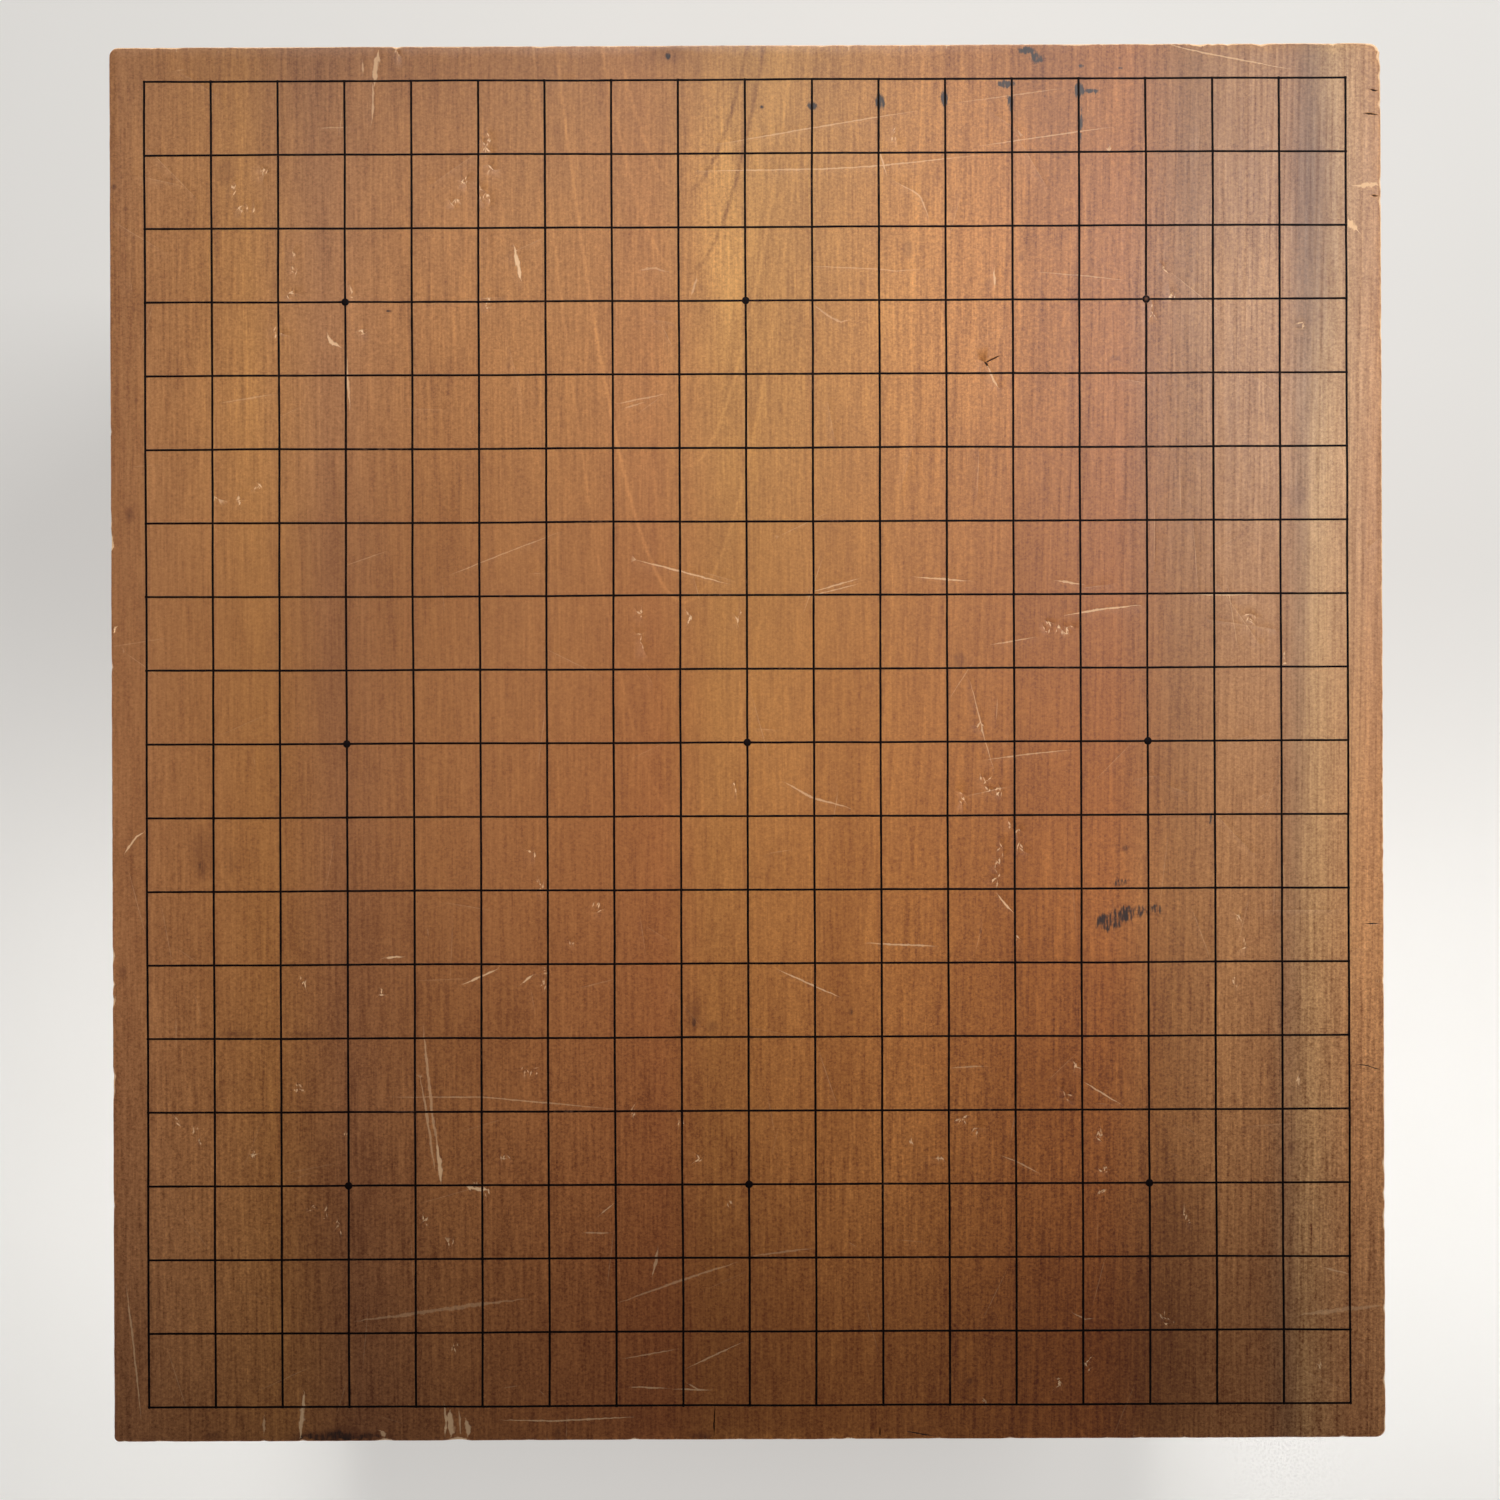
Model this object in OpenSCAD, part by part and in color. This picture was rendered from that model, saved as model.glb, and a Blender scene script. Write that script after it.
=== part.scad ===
// Floor go board: a solid wooden block with a lacquered grid, standing on four carved legs.
// Millimetres, +Z up. The origin is on the floor under the middle of the block.
// X runs across the board, and Y runs along the grain, away from the player in front.

/* [Grid] */
// Distance between neighbouring column lines
col_pitch = 22.25; // [20:0.05:22.75]
// Distance between neighbouring row lines
row_pitch = 24.55; // [22:0.05:25]

/* [Lacquer] */
// Width of a column line
col_line_w = 0.8; // [0.5:0.05:1.8]
// Width of a row line
row_line_w = 0.75; // [0.5:0.05:1.8]
// Height of the row lines above the wood
row_film = 0.1; // [0.06:0.02:0.2]
// Height of the column lines above the row lines that they cross
col_rise = 0.06; // [0.04:0.02:0.12]
// Diameter of a star point
star_d = 2.6; // [2:0.1:4]
// Height of the star points above the column lines
star_rise = 0.08; // [0.04:0.02:0.16]

/* [Block] */
// Width of the block, across the grain
block_w = 424; // [420:1:480]
// Length of the block, along the grain
block_l = 465; // [460:1:520]
// Thickness of the block
block_h = 150; // [100:1:200]
// Radius of the block's upright corners
corner_r = 3; // [1.5:0.5:8]
// Chamfer along the upper and lower edges
edge_chamfer = 1.5; // [0.5:0.25:4]
// Side of the square recess under the block
navel_w = 70; // [40:1:100]
// Depth of the recess's upright rim
navel_rim = 6; // [3:1:15]
// Depth of the hollow pyramid above that rim
navel_point = 18; // [8:1:30]

/* [Legs] */
// Height of a leg below the block
leg_h = 116; // [100:1:140]
// Side or end of the block to a leg's axis
leg_inset = 70; // [60:1:90]
// Number of carved ridges round a leg
ridges = 8; // [6:1:10]
// Depth of the flutes between the ridges, at the belly
flute_d = 7; // [4:0.5:8]
// Radius of the crown that meets the block
crown_r = 44; // [38:0.5:52]
// Thickness of the crown's upright edge
crown_edge = 5; // [2:0.5:7]
// Radius of the neck under the crown
neck_r = 33; // [28:0.5:36]
// Underside of the block to the neck
neck_drop = 22; // [15:0.5:28]
// Radius of the belly, a leg's widest part
belly_r = 52; // [46:0.5:56]
// Underside of the block to the belly
belly_drop = 58; // [48:1:68]
// Radius of the ankle
ankle_r = 28; // [26:0.5:34]
// Floor to the ankle
ankle_rise = 15; // [11:0.5:20]
// Radius of the hem below the ankle
hem_r = 30.5; // [29:0.5:36]
// Radius of the round foot
foot_r = 23; // [18:0.5:24]
// Height of the round foot
foot_h = 5; // [2:0.5:8]

/* [Joinery] */
// Diameter of the tenon on a leg
tenon_d = 36; // [26:0.5:44]
// Length of the tenon
tenon_l = 34; // [20:1:50]
// Gap between tenon and socket, all round
tenon_fit = 0.05; // [0.02:0.01:0.1]
// Room left in the socket past the tenon's end
socket_relief = 1; // [0.5:0.5:4]

/* [Hidden] */

$fn = 64;

// Lines each way and the lines that carry star points, counted from the middle, as the game has them
lines = 19;
star_steps = [-6, 0, 6];
mid_line = (lines - 1) / 2;

// The grid lies in the middle of the block's top
grid_w = (lines - 1) * col_pitch;
grid_l = (lines - 1) * row_pitch;
top_z = leg_h + block_h;

// Heights of the three coats of lacquer above the wood
col_film = row_film + col_rise;
star_film = col_film + star_rise;

// Where the legs stand
leg_x = block_w / 2 - leg_inset;
leg_y = block_l / 2 - leg_inset;

// How far a cut runs past the face that it opens
cut_past = 1;
// How far the tenon and the foot reach into the carved leg
root_lap = 2;

// Points round a leg for each ridge, and rings from the floor up in each stretch of its outline
ridge_points = 6;
stretch_rings = [3, 7, 6, 5, 1];

// Outline of the ridges from the hem up to the block: height and radius
leg_outline = [
    [foot_h, hem_r],
    [ankle_rise, ankle_r],
    [leg_h - belly_drop, belly_r],
    [leg_h - neck_drop, neck_r],
    [leg_h - crown_edge, crown_r],
    [leg_h, crown_r]
];

wood = [0.60, 0.38, 0.22];
leg_wood = [0.53, 0.32, 0.18];
lacquer = [0.07, 0.05, 0.06];

// Eases from 0 to 1 with a level start and end
function ease(t) = t * t * (3 - 2 * t);

// One ring of the outline: step k of the stretch that starts at station i
function outline_at(i, k) =
    let (a = leg_outline[i], b = leg_outline[i + 1], t = k / stretch_rings[i])
    [a[0] + (b[0] - a[0]) * t, a[1] + (b[1] - a[1]) * ease(t)];

// All rings from the hem up to the block
leg_rings = concat(
    [leg_outline[0]],
    [for (i = [0 : len(stretch_rings) - 1]) for (k = [1 : stretch_rings[i]]) outline_at(i, k)]
);

// Share of the ridge radius that is left at an angle round the leg
function flute(angle) = 1 - flute_d / belly_r * abs(sin(ridges * angle / 2));

// The carved leg between its foot and the block
module carved_leg() {
    around = ridges * ridge_points;
    top = len(leg_rings) - 1;
    wall = [
        for (ring = leg_rings)
            for (j = [0 : around - 1])
                let (angle = 360 * j / around, r = ring[1] * flute(angle))
                [r * cos(angle), r * sin(angle), ring[0]]
    ];
    low_mid = len(wall);
    high_mid = low_mid + 1;
    mids = [[0, 0, leg_rings[0][0]], [0, 0, leg_rings[top][0]]];
    sides = [
        for (i = [0 : top - 1])
            for (j = [0 : around - 1])
                let (a = i * around + j, b = i * around + (j + 1) % around)
                each [[a, a + around, b + around], [a, b + around, b]]
    ];
    low_cap = [for (j = [0 : around - 1]) [low_mid, j, (j + 1) % around]];
    high_cap = [
        for (j = [0 : around - 1])
            [high_mid, top * around + (j + 1) % around, top * around + j]
    ];
    polyhedron(concat(wall, mids), concat(sides, low_cap, high_cap));
}

// A whole leg on the origin: carved body, round foot and tenon
module leg() {
    color(leg_wood)
        union() {
            carved_leg();
            cylinder(r = foot_r, h = foot_h + root_lap);
            translate([0, 0, leg_h - root_lap])
                cylinder(d = tenon_d, h = tenon_l + root_lap);
        }
}

// Puts its children where a leg stands: sx is -1 left and 1 right, sy is -1 front and 1 rear
module at_leg(sx, sy) {
    translate([sx * leg_x, sy * leg_y, 0]) children();
}

module leg_front_left() { at_leg(-1, -1) leg(); }
module leg_front_right() { at_leg(1, -1) leg(); }
module leg_rear_left() { at_leg(-1, 1) leg(); }
module leg_rear_right() { at_leg(1, 1) leg(); }

// Rounded rectangle, centred
module rounded_plan(w, l, r) {
    square([w - 2 * r, l], center = true);
    square([w, l - 2 * r], center = true);
    for (sx = [-1, 1])
        for (sy = [-1, 1])
            translate([sx * (w / 2 - r), sy * (l / 2 - r)]) circle(r = r);
}

// Upright section of the block with its four edges chamfered, from z 0 to the block's height
module chamfered_section(w) {
    half = w / 2;
    c = edge_chamfer;
    polygon([
        [-half + c, 0], [half - c, 0], [half, c], [half, block_h - c],
        [half - c, block_h], [-half + c, block_h], [-half, block_h - c], [-half, c]
    ]);
}

// The block before anything is cut into it
module plain_block() {
    intersection() {
        linear_extrude(block_h) rounded_plan(block_w, block_l, corner_r);
        rotate([90, 0, 0])
            linear_extrude(block_l + 2 * cut_past, center = true) chamfered_section(block_w);
        rotate([90, 0, 90])
            linear_extrude(block_w + 2 * cut_past, center = true) chamfered_section(block_l);
    }
}

// Triangle that one pair of the navel's slopes makes in section
module navel_section() {
    polygon([[-navel_w / 2, 0], [navel_w / 2, 0], [0, navel_point]]);
}

// The square hollow under the block: an upright rim and a pyramid above it
module navel() {
    translate([-navel_w / 2, -navel_w / 2, -cut_past])
        cube([navel_w, navel_w, navel_rim + cut_past]);
    translate([0, 0, navel_rim])
        intersection() {
            rotate([90, 0, 0]) linear_extrude(navel_w, center = true) navel_section();
            rotate([90, 0, 90]) linear_extrude(navel_w, center = true) navel_section();
        }
}

// Round socket for a leg's tenon
module socket() {
    translate([0, 0, -cut_past])
        cylinder(r = tenon_d / 2 + tenon_fit, h = tenon_l + socket_relief + cut_past);
}

module block() {
    color(wood)
        translate([0, 0, leg_h])
            difference() {
                plain_block();
                navel();
                for (sx = [-1, 1])
                    for (sy = [-1, 1])
                        at_leg(sx, sy) socket();
            }
}

// Row lines on the wood, with a film of the given height
module row_bars(film) {
    bar_l = grid_w + col_line_w;
    for (i = [-mid_line : mid_line])
        translate([-bar_l / 2, i * row_pitch - row_line_w / 2, top_z])
            cube([bar_l, row_line_w, film]);
}

// Column lines on the wood, with a film of the given height
module column_bars(film) {
    bar_l = grid_l + row_line_w;
    for (i = [-mid_line : mid_line])
        translate([i * col_pitch - col_line_w / 2, -bar_l / 2, top_z])
            cube([col_line_w, bar_l, film]);
}

module row_lines() { color(lacquer) row_bars(row_film); }

// The column lines bridge the row lines
module column_lines() {
    color(lacquer)
        difference() {
            column_bars(col_film);
            row_bars(row_film);
        }
}

// The star points cover the crossings that they mark
module star_points() {
    color(lacquer)
        difference() {
            for (i = star_steps)
                for (j = star_steps)
                    translate([i * col_pitch, j * row_pitch, top_z])
                        cylinder(d = star_d, h = star_film);
            row_bars(row_film);
            column_bars(col_film);
        }
}

block();
row_lines();
column_lines();
star_points();
leg_front_left();
leg_front_right();
leg_rear_left();
leg_rear_right();
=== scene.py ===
"""Floor go board: a worn waxed block, a lacquered grid and carved legs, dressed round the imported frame."""

import math
import random
from collections import namedtuple

import bmesh
import bpy
import numpy as np
from bpy.props import FloatProperty, FloatVectorProperty, IntProperty, PointerProperty
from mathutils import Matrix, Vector, geometry, kdtree, noise


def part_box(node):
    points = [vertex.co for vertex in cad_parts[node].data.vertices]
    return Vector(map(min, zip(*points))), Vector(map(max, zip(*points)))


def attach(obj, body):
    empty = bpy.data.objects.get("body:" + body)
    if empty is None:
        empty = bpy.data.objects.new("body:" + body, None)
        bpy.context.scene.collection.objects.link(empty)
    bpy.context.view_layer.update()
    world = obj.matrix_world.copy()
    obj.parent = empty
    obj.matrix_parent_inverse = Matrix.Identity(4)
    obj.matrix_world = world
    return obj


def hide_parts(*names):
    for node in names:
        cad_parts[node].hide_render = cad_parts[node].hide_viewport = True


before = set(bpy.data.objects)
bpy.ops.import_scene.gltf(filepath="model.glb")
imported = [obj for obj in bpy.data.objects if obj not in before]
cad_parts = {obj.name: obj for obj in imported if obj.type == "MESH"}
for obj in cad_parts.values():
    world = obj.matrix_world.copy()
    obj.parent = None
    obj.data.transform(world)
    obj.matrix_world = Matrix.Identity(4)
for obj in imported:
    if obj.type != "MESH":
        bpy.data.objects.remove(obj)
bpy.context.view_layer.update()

bl_info = {
    "name": "Floor Go Board",
    "version": (1, 0, 0),
    "blender": (4, 5, 0),
    "location": "View3D > Sidebar > Go Board",
    "description": "Builds a worn floor go board with a lacquered grid and carved legs",
    "category": "Add Mesh",
}

MM = 0.001
LEGS = ("leg_front_left", "leg_front_right", "leg_rear_left", "leg_rear_right")

# Sizes and places that the frame gives
BLOCK_LOW, BLOCK_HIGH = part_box("block")
BLOCK_SIZE = BLOCK_HIGH - BLOCK_LOW
TOP = BLOCK_HIGH.z
UNDER = BLOCK_LOW.z
COLUMN_LOW, COLUMN_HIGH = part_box("column_lines")
ROW_LOW, ROW_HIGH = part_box("row_lines")
STAR_LOW, STAR_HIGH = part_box("star_points")
LEG_LOW, LEG_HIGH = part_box(LEGS[3])
LEG_PLACE = (LEG_LOW + LEG_HIGH) / 2
LINE_COUNT = 19
STARS_EACH_WAY = 3
GRID_HALF = (COLUMN_HIGH - COLUMN_LOW) / 2

# The photo on the board: the pixel at the grid's middle, the board's width in pixels and its slight turn
PHOTO_MIDDLE = (747.4, 742.4)
PHOTO_BOARD_WIDTH = 1272
PHOTO_TURN = math.radians(0.22)
PIXEL_MM = BLOCK_SIZE.x / MM / PHOTO_BOARD_WIDTH


def srgb(red, green, blue):
    """Linear colour from the 0 to 255 values that a paint chart gives."""
    shares = [value / 255 for value in (red, green, blue)]
    return tuple(s / 12.92 if s <= 0.04045 else ((s + 0.055) / 1.055) ** 2.4 for s in shares)


def on_board(px, py):
    """Place on the board's top, in millimetres from its middle, of a pixel of the photo."""
    across = (px - PHOTO_MIDDLE[0]) * PIXEL_MM
    up = (PHOTO_MIDDLE[1] - py) * PIXEL_MM
    cos, sin = math.cos(PHOTO_TURN), math.sin(PHOTO_TURN)
    return (across * cos + up * sin, up * cos - across * sin)


# Scratches seen in the photo: width and depth in millimetres, how pale they are, and their path in pixels
Scratch = namedtuple("Scratch", "name width depth bare path")
SCRATCHES = (
    Scratch("rear splinter", 2.4, 0.15, 0.62, ((378, 50), (376, 68), (374, 86))),
    Scratch("rear splinter tail", 1.1, 0.08, 0.5, ((373, 84), (373, 108), (372, 122))),
    Scratch("rear sliver", 0.9, 0.06, 0.45, ((363, 60), (363, 74))),
    Scratch("beside the fourth column", 1.1, 0.08, 0.6, ((346, 346), (347, 370), (350, 410))),
    Scratch("fourth column flake", 1.7, 0.12, 0.85, ((327, 333), (331, 342), (341, 347))),
    Scratch("rear left cross line", 0.7, 0.05, 0.3, ((319, 128), (350, 127))),
    Scratch("rear left slant", 0.7, 0.05, 0.3, ((221, 403), (274, 394))),
    Scratch("long splinter by the sixth column", 1.9, 0.18, 0.95, ((514, 247), (517, 262), (521, 281))),
    Scratch("long line to the right", 0.75, 0.06, 0.5, ((697, 171), (820, 169), (877, 166), (979, 155))),
    Scratch("upper long line", 0.7, 0.05, 0.45, ((719, 144), (811, 128), (877, 117), (916, 111))),
    Scratch("upper right line", 0.6, 0.05, 0.45, ((979, 146), (1034, 138), (1111, 127))),
    Scratch("faint upper right line", 0.6, 0.04, 0.3, ((954, 103), (1022, 94), (1064, 88))),
    Scratch("kinked line", 0.8, 0.07, 0.6, ((879, 146), (882, 160), (887, 176))),
    Scratch("kinked line tail", 0.7, 0.06, 0.5, ((896, 182), (915, 192), (921, 197), (930, 221))),
    Scratch("rear corner line", 0.8, 0.06, 0.6, ((1161, 43), (1205, 53), (1248, 61), (1289, 69))),
    Scratch("level line", 0.6, 0.04, 0.35, ((811, 266), (877, 269), (896, 271), (925, 269))),
    Scratch("level line to the right", 0.6, 0.04, 0.35, ((1037, 272), (1088, 276), (1124, 280))),
    Scratch("hooked line", 1.0, 0.05, 0.35, ((814, 305), (831, 318), (841, 322), (850, 320))),
    Scratch("upright fleck", 1.0, 0.1, 0.75, ((994, 269), (995, 287))),
    Scratch("gouge tail", 1.3, 0.15, 0.7, ((988, 366), (994, 381), (999, 388))),
    Scratch("scuff over the eighth column", 0.8, 0.05, 0.4, ((618, 404), (640, 399), (665, 394))),
    Scratch("second scuff there", 0.7, 0.05, 0.35, ((622, 409), (645, 402))),
    Scratch("scuff under the arches", 1.2, 0.05, 0.3, ((639, 270), (655, 268), (668, 272))),
    Scratch("streak beside the golden band", 1.2, 0.06, 0.4, ((697, 276), (694, 288), (691, 297))),
    Scratch("middle slant", 0.9, 0.07, 0.65, ((636, 560), (680, 571), (728, 584))),
    Scratch("left slant", 0.6, 0.05, 0.35, ((450, 575), (505, 553), (560, 532))),
    Scratch("double line", 0.7, 0.06, 0.55, ((812, 592), (836, 585), (860, 578))),
    Scratch("double line twin", 0.6, 0.05, 0.5, ((806, 597), (834, 590), (858, 584))),
    Scratch("short level line", 0.9, 0.06, 0.65, ((915, 577), (944, 579), (970, 581))),
    Scratch("short line right", 0.9, 0.06, 0.6, ((1055, 580), (1085, 585))),
    Scratch("pale line right", 1.0, 0.08, 0.75, ((1065, 615), (1102, 609), (1140, 605))),
    Scratch("line beside the stain", 0.7, 0.05, 0.5, ((990, 645), (1035, 637))),
    Scratch("level line far right", 0.8, 0.05, 0.55, ((1190, 594), (1224, 595), (1257, 594))),
    Scratch("line by the flakes", 0.7, 0.05, 0.45, ((985, 760), (1028, 754), (1070, 750))),
    Scratch("slant under the middle", 1.2, 0.06, 0.5, ((784, 782), (811, 797), (850, 808))),
    Scratch("slant below it", 0.8, 0.06, 0.65, ((779, 970), (812, 985), (840, 997))),
    Scratch("level line below the middle", 0.9, 0.06, 0.6, ((866, 943), (909, 945), (937, 946))),
    Scratch("flake trail line", 0.9, 0.1, 0.85, ((997, 893), (1006, 905), (1014, 913))),
    Scratch("flake trail upper line", 0.6, 0.05, 0.5, ((970, 680), (978, 712), (985, 740), (994, 770))),
    Scratch("faint long line", 0.7, 0.05, 0.4, ((390, 1097), (480, 1097), (560, 1104), (613, 1109))),
    Scratch("wide splinter", 1.4, 0.1, 0.4,
            ((423, 1027), (429, 1083), (433, 1120), (438, 1150), (440, 1172))),
    Scratch("wide splinter end", 1.9, 0.14, 0.85, ((437, 1146), (440, 1164), (441, 1184))),
    Scratch("wide splinter side", 1.3, 0.08, 0.4, ((420, 1078), (426, 1110), (431, 1142), (435, 1172))),
    Scratch("left margin line", 0.9, 0.07, 0.6, ((126, 1284), (134, 1350), (141, 1418))),
    Scratch("left margin hook", 1.0, 0.1, 0.75, ((124, 854), (130, 845), (137, 836), (144, 832))),
    Scratch("front slant right", 0.9, 0.07, 0.7, ((1084, 1082), (1102, 1093), (1120, 1104))),
    Scratch("front level line", 0.7, 0.05, 0.4, ((948, 1068), (986, 1066))),
    Scratch("front broken line", 0.8, 0.06, 0.5, ((1000, 1155), (1020, 1163), (1039, 1173))),
    Scratch("front wide scuff", 1.8, 0.05, 0.3, ((356, 1321), (412, 1314), (480, 1304), (527, 1299))),
    Scratch("front rising scuff", 1.1, 0.05, 0.35, ((618, 1303), (682, 1280), (738, 1262))),
    Scratch("front rising scuff end", 0.9, 0.05, 0.3, ((751, 1256), (815, 1248))),
    Scratch("front slant", 0.7, 0.06, 0.5, ((687, 1368), (715, 1355), (743, 1342))),
    Scratch("front level dash", 0.8, 0.06, 0.6, ((629, 1387), (667, 1388))),
    Scratch("front second dash", 0.8, 0.06, 0.6, ((674, 1389), (711, 1390))),
    Scratch("front short slant", 0.7, 0.05, 0.5, ((687, 1383), (701, 1391))),
    Scratch("front faint slant", 0.7, 0.05, 0.4, ((623, 1359), (677, 1349))),
    Scratch("front margin line", 0.9, 0.08, 0.65, ((501, 1420), (555, 1421), (634, 1417))),
    Scratch("front nick line", 0.8, 0.07, 0.6, ((600, 1215), (614, 1203))),
    Scratch("front level nick", 0.9, 0.05, 0.45, ((583, 1233), (611, 1233))),
    Scratch("front right arc", 0.8, 0.06, 0.5, ((1073, 1313), (1085, 1319), (1094, 1318))),
    Scratch("right margin line", 0.8, 0.06, 0.5, ((1322, 1267), (1350, 1274))),
    Scratch("right margin scuff", 2.4, 0.04, 0.3, ((1300, 1315), (1345, 1309), (1384, 1305))),
    Scratch("right margin upper scuff", 2.0, 0.06, 0.8, ((1354, 186), (1366, 185), (1380, 184))),
    Scratch("corner bruise", 3.2, 0.12, 0.9, ((1349, 219), (1353, 226), (1358, 231))),
    Scratch("chip on the row line", 1.8, 0.1, 1.0, ((465, 1186), (476, 1189), (489, 1190))),
    Scratch("trail of nicks", 1.0, 0.08, 0.8, ((463, 984), (478, 978), (498, 969))),
    Scratch("short trail", 1.0, 0.08, 0.8, ((521, 984), (533, 975))),
    Scratch("left pale dash", 1.0, 0.08, 0.8, ((384, 958), (394, 957), (405, 957))),
    Scratch("front edge splinter one", 2.0, 0.12, 0.95, ((304, 1392), (302, 1416), (300, 1437))),
    Scratch("front edge splinter two", 3.4, 0.14, 0.95, ((449, 1410), (452, 1425), (451, 1437))),
    Scratch("front edge splinter three", 2.6, 0.12, 0.85, ((466, 1418), (468, 1437))),
    Scratch("front edge splinter fibres", 1.2, 0.1, 0.7, ((444, 1404), (446, 1420), (445, 1437))),
    Scratch("front edge splinter more fibres", 1.0, 0.1, 0.6, ((459, 1408), (460, 1424), (461, 1437))),
    Scratch("front edge splinter four", 1.2, 0.1, 0.6, ((264, 1416), (264, 1434))),
    Scratch("front edge splinter five", 2.8, 0.1, 0.8, ((381, 1430), (385, 1437))),
    Scratch("light fibre streak", 1.4, 0.06, 0.5, ((658, 1248), (656, 1263), (652, 1277))),
)

# Small pale flecks seen in the photo, in pixels
FLECKS = {
    "by the sixth column": ((488, 141), (486, 149), (491, 170), (482, 191), (488, 197), (457, 203),
                            (465, 180)),
    "rear left cells": ((264, 173), (235, 190), (241, 209), (250, 209), (294, 253), (294, 274), (290, 294),
                        (352, 294), (276, 333), (363, 332), (487, 302), (397, 50)),
    "rear right cells": ((894, 135), (1111, 149), (1162, 270), (1172, 295), (1303, 327), (1150, 312)),
    "left cells": ((262, 488), (215, 500), (240, 501), (115, 630), (303, 981), (382, 992), (348, 1132)),
    "middle cells": ((640, 612), (641, 640), (690, 620), (738, 621), (542, 888), (534, 856), (572, 945),
                     (597, 908), (736, 785), (543, 984), (543, 968)),
    "flake trail": ((986, 782), (993, 788), (1001, 793), (1010, 823), (1016, 831), (1021, 846), (1004, 849),
                    (998, 862), (997, 878), (1018, 939), (963, 798), (979, 725)),
    "right cells": ((1048, 622), (1058, 627), (1067, 629), (1250, 617), (1285, 658), (1239, 917), (1245, 942),
                    (1233, 984), (1299, 1078)),
    "front left cells": ((179, 1126), (194, 1131), (200, 1142), (299, 1086), (253, 1157), (474, 1188),
                         (484, 1191), (427, 1219), (453, 1245), (455, 1347), (524, 1070), (534, 1073),
                         (312, 1205), (326, 1216), (338, 1226)),
    "front middle cells": ((504, 1159), (698, 1159), (680, 1119), (632, 1112), (911, 1143), (729, 1204),
                           (957, 1122), (964, 1120), (975, 1131), (940, 1158)),
    "front right cells": ((1076, 1066), (1066, 1092), (1099, 1135), (1106, 1167), (1102, 1193), (1187, 1218),
                          (1164, 1316), (1169, 1322), (1091, 1364), (1060, 1382), (985, 1398), (1320, 1364)),
}

# Dark cracks and cuts on the top, in pixels: width and depth in millimetres
CRACKS = (
    Scratch("gouge arm", 0.9, 0.35, 0, ((985, 363), (993, 359), (1001, 355))),
    Scratch("gouge head", 1.3, 0.4, 0, ((984, 361), (989, 367))),
    Scratch("drying check", 0.7, 0.6, 0, ((715, 1405), (714, 1422), (714, 1438))),
    Scratch("second check", 0.7, 0.5, 0, ((880, 1427), (880, 1438))),
    Scratch("third check", 0.6, 0.4, 0, ((905, 1431), (920, 1434), (934, 1436))),
    Scratch("right margin crack", 0.8, 0.3, 0, ((1364, 924), (1380, 924))),
    Scratch("right margin second crack", 0.6, 0.25, 0, ((1356, 1064), (1368, 1066), (1380, 1070))),
    Scratch("rear right crack", 0.9, 0.25, 0, ((1369, 89), (1380, 92))),
    Scratch("rear right second crack", 0.9, 0.25, 0, ((1364, 113), (1379, 115))),
    Scratch("rear right third crack", 0.9, 0.25, 0, ((1371, 195), (1380, 197))),
)

# Dark stains and ink on the top: middle and half sizes in pixels, and strength
Blot = namedtuple("Blot", "name middle reach strength")
STAINS = (
    Blot("rear knot", (668, 56), (3.5, 5), 1.0),
    Blot("knot halo", (668, 52), (22, 12), 0.3),
    Blot("round stain", (960, 660), (8, 9), 0.55),
    Blot("left spot", (202, 868), (6, 14), 0.64),
    Blot("left spot halo", (202, 854), (13, 28), 0.45),
    Blot("left streak", (231, 862), (4, 18), 0.35),
    Blot("middle knot", (693, 1016), (8, 19), 0.5),
    Blot("middle knot core", (694, 1022), (4, 9), 0.7),
    Blot("middle knot side", (712, 1027), (7, 8), 0.5),
    Blot("row smear", (238, 1034), (20, 3), 0.6),
    Blot("second row smear", (305, 1034), (20, 3), 0.5),
    Blot("left margin spot", (130, 515), (5, 9), 0.6),
    Blot("left margin low spot", (123, 972), (4, 7), 0.6),
    Blot("right small spot", (1125, 848), (4, 4), 0.7),
    Blot("small spot", (851, 1012), (3, 4), 0.6),
    Blot("streak spot", (1291, 1147), (4, 7), 0.6),
    Blot("front spot", (970, 1381), (4, 4), 0.6),
    Blot("right smudge", (1297, 495), (9, 16), 0.4),
    Blot("front edge smudge", (312, 1438), (24, 8), 0.8),
    Blot("front edge smudge middle", (339, 1438), (26, 12), 0.86),
    Blot("front edge smudge end", (368, 1438), (24, 8), 0.8),
    Blot("front edge second smudge", (214, 1436), (10, 6), 0.6),
    Blot("front edge third smudge", (558, 1434), (4, 8), 0.55),
    Blot("front edge fourth smudge", (700, 1437), (15, 5), 0.6),
    Blot("left rear smudge", (224, 172), (8, 16), 0.35),
    Blot("rear dot", (762, 107), (2.5, 2.5), 0.9),
    Blot("rear dash", (389, 311), (4, 1.5), 0.9),
    Blot("left rear dots", (114, 187), (3, 4), 0.7),
    Blot("left edge dot", (125, 209), (3, 3), 0.5),
    Blot("left edge low dot", (134, 309), (3, 3), 0.5),
    Blot("left edge third dot", (136, 401), (3, 3), 0.5),
    Blot("right cell smudge", (908, 249), (6, 10), 0.45),
    Blot("right cell spot", (1021, 258), (3, 5), 0.5),
    Blot("right cell dashes", (1116, 358), (7, 3), 0.5),
)
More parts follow.
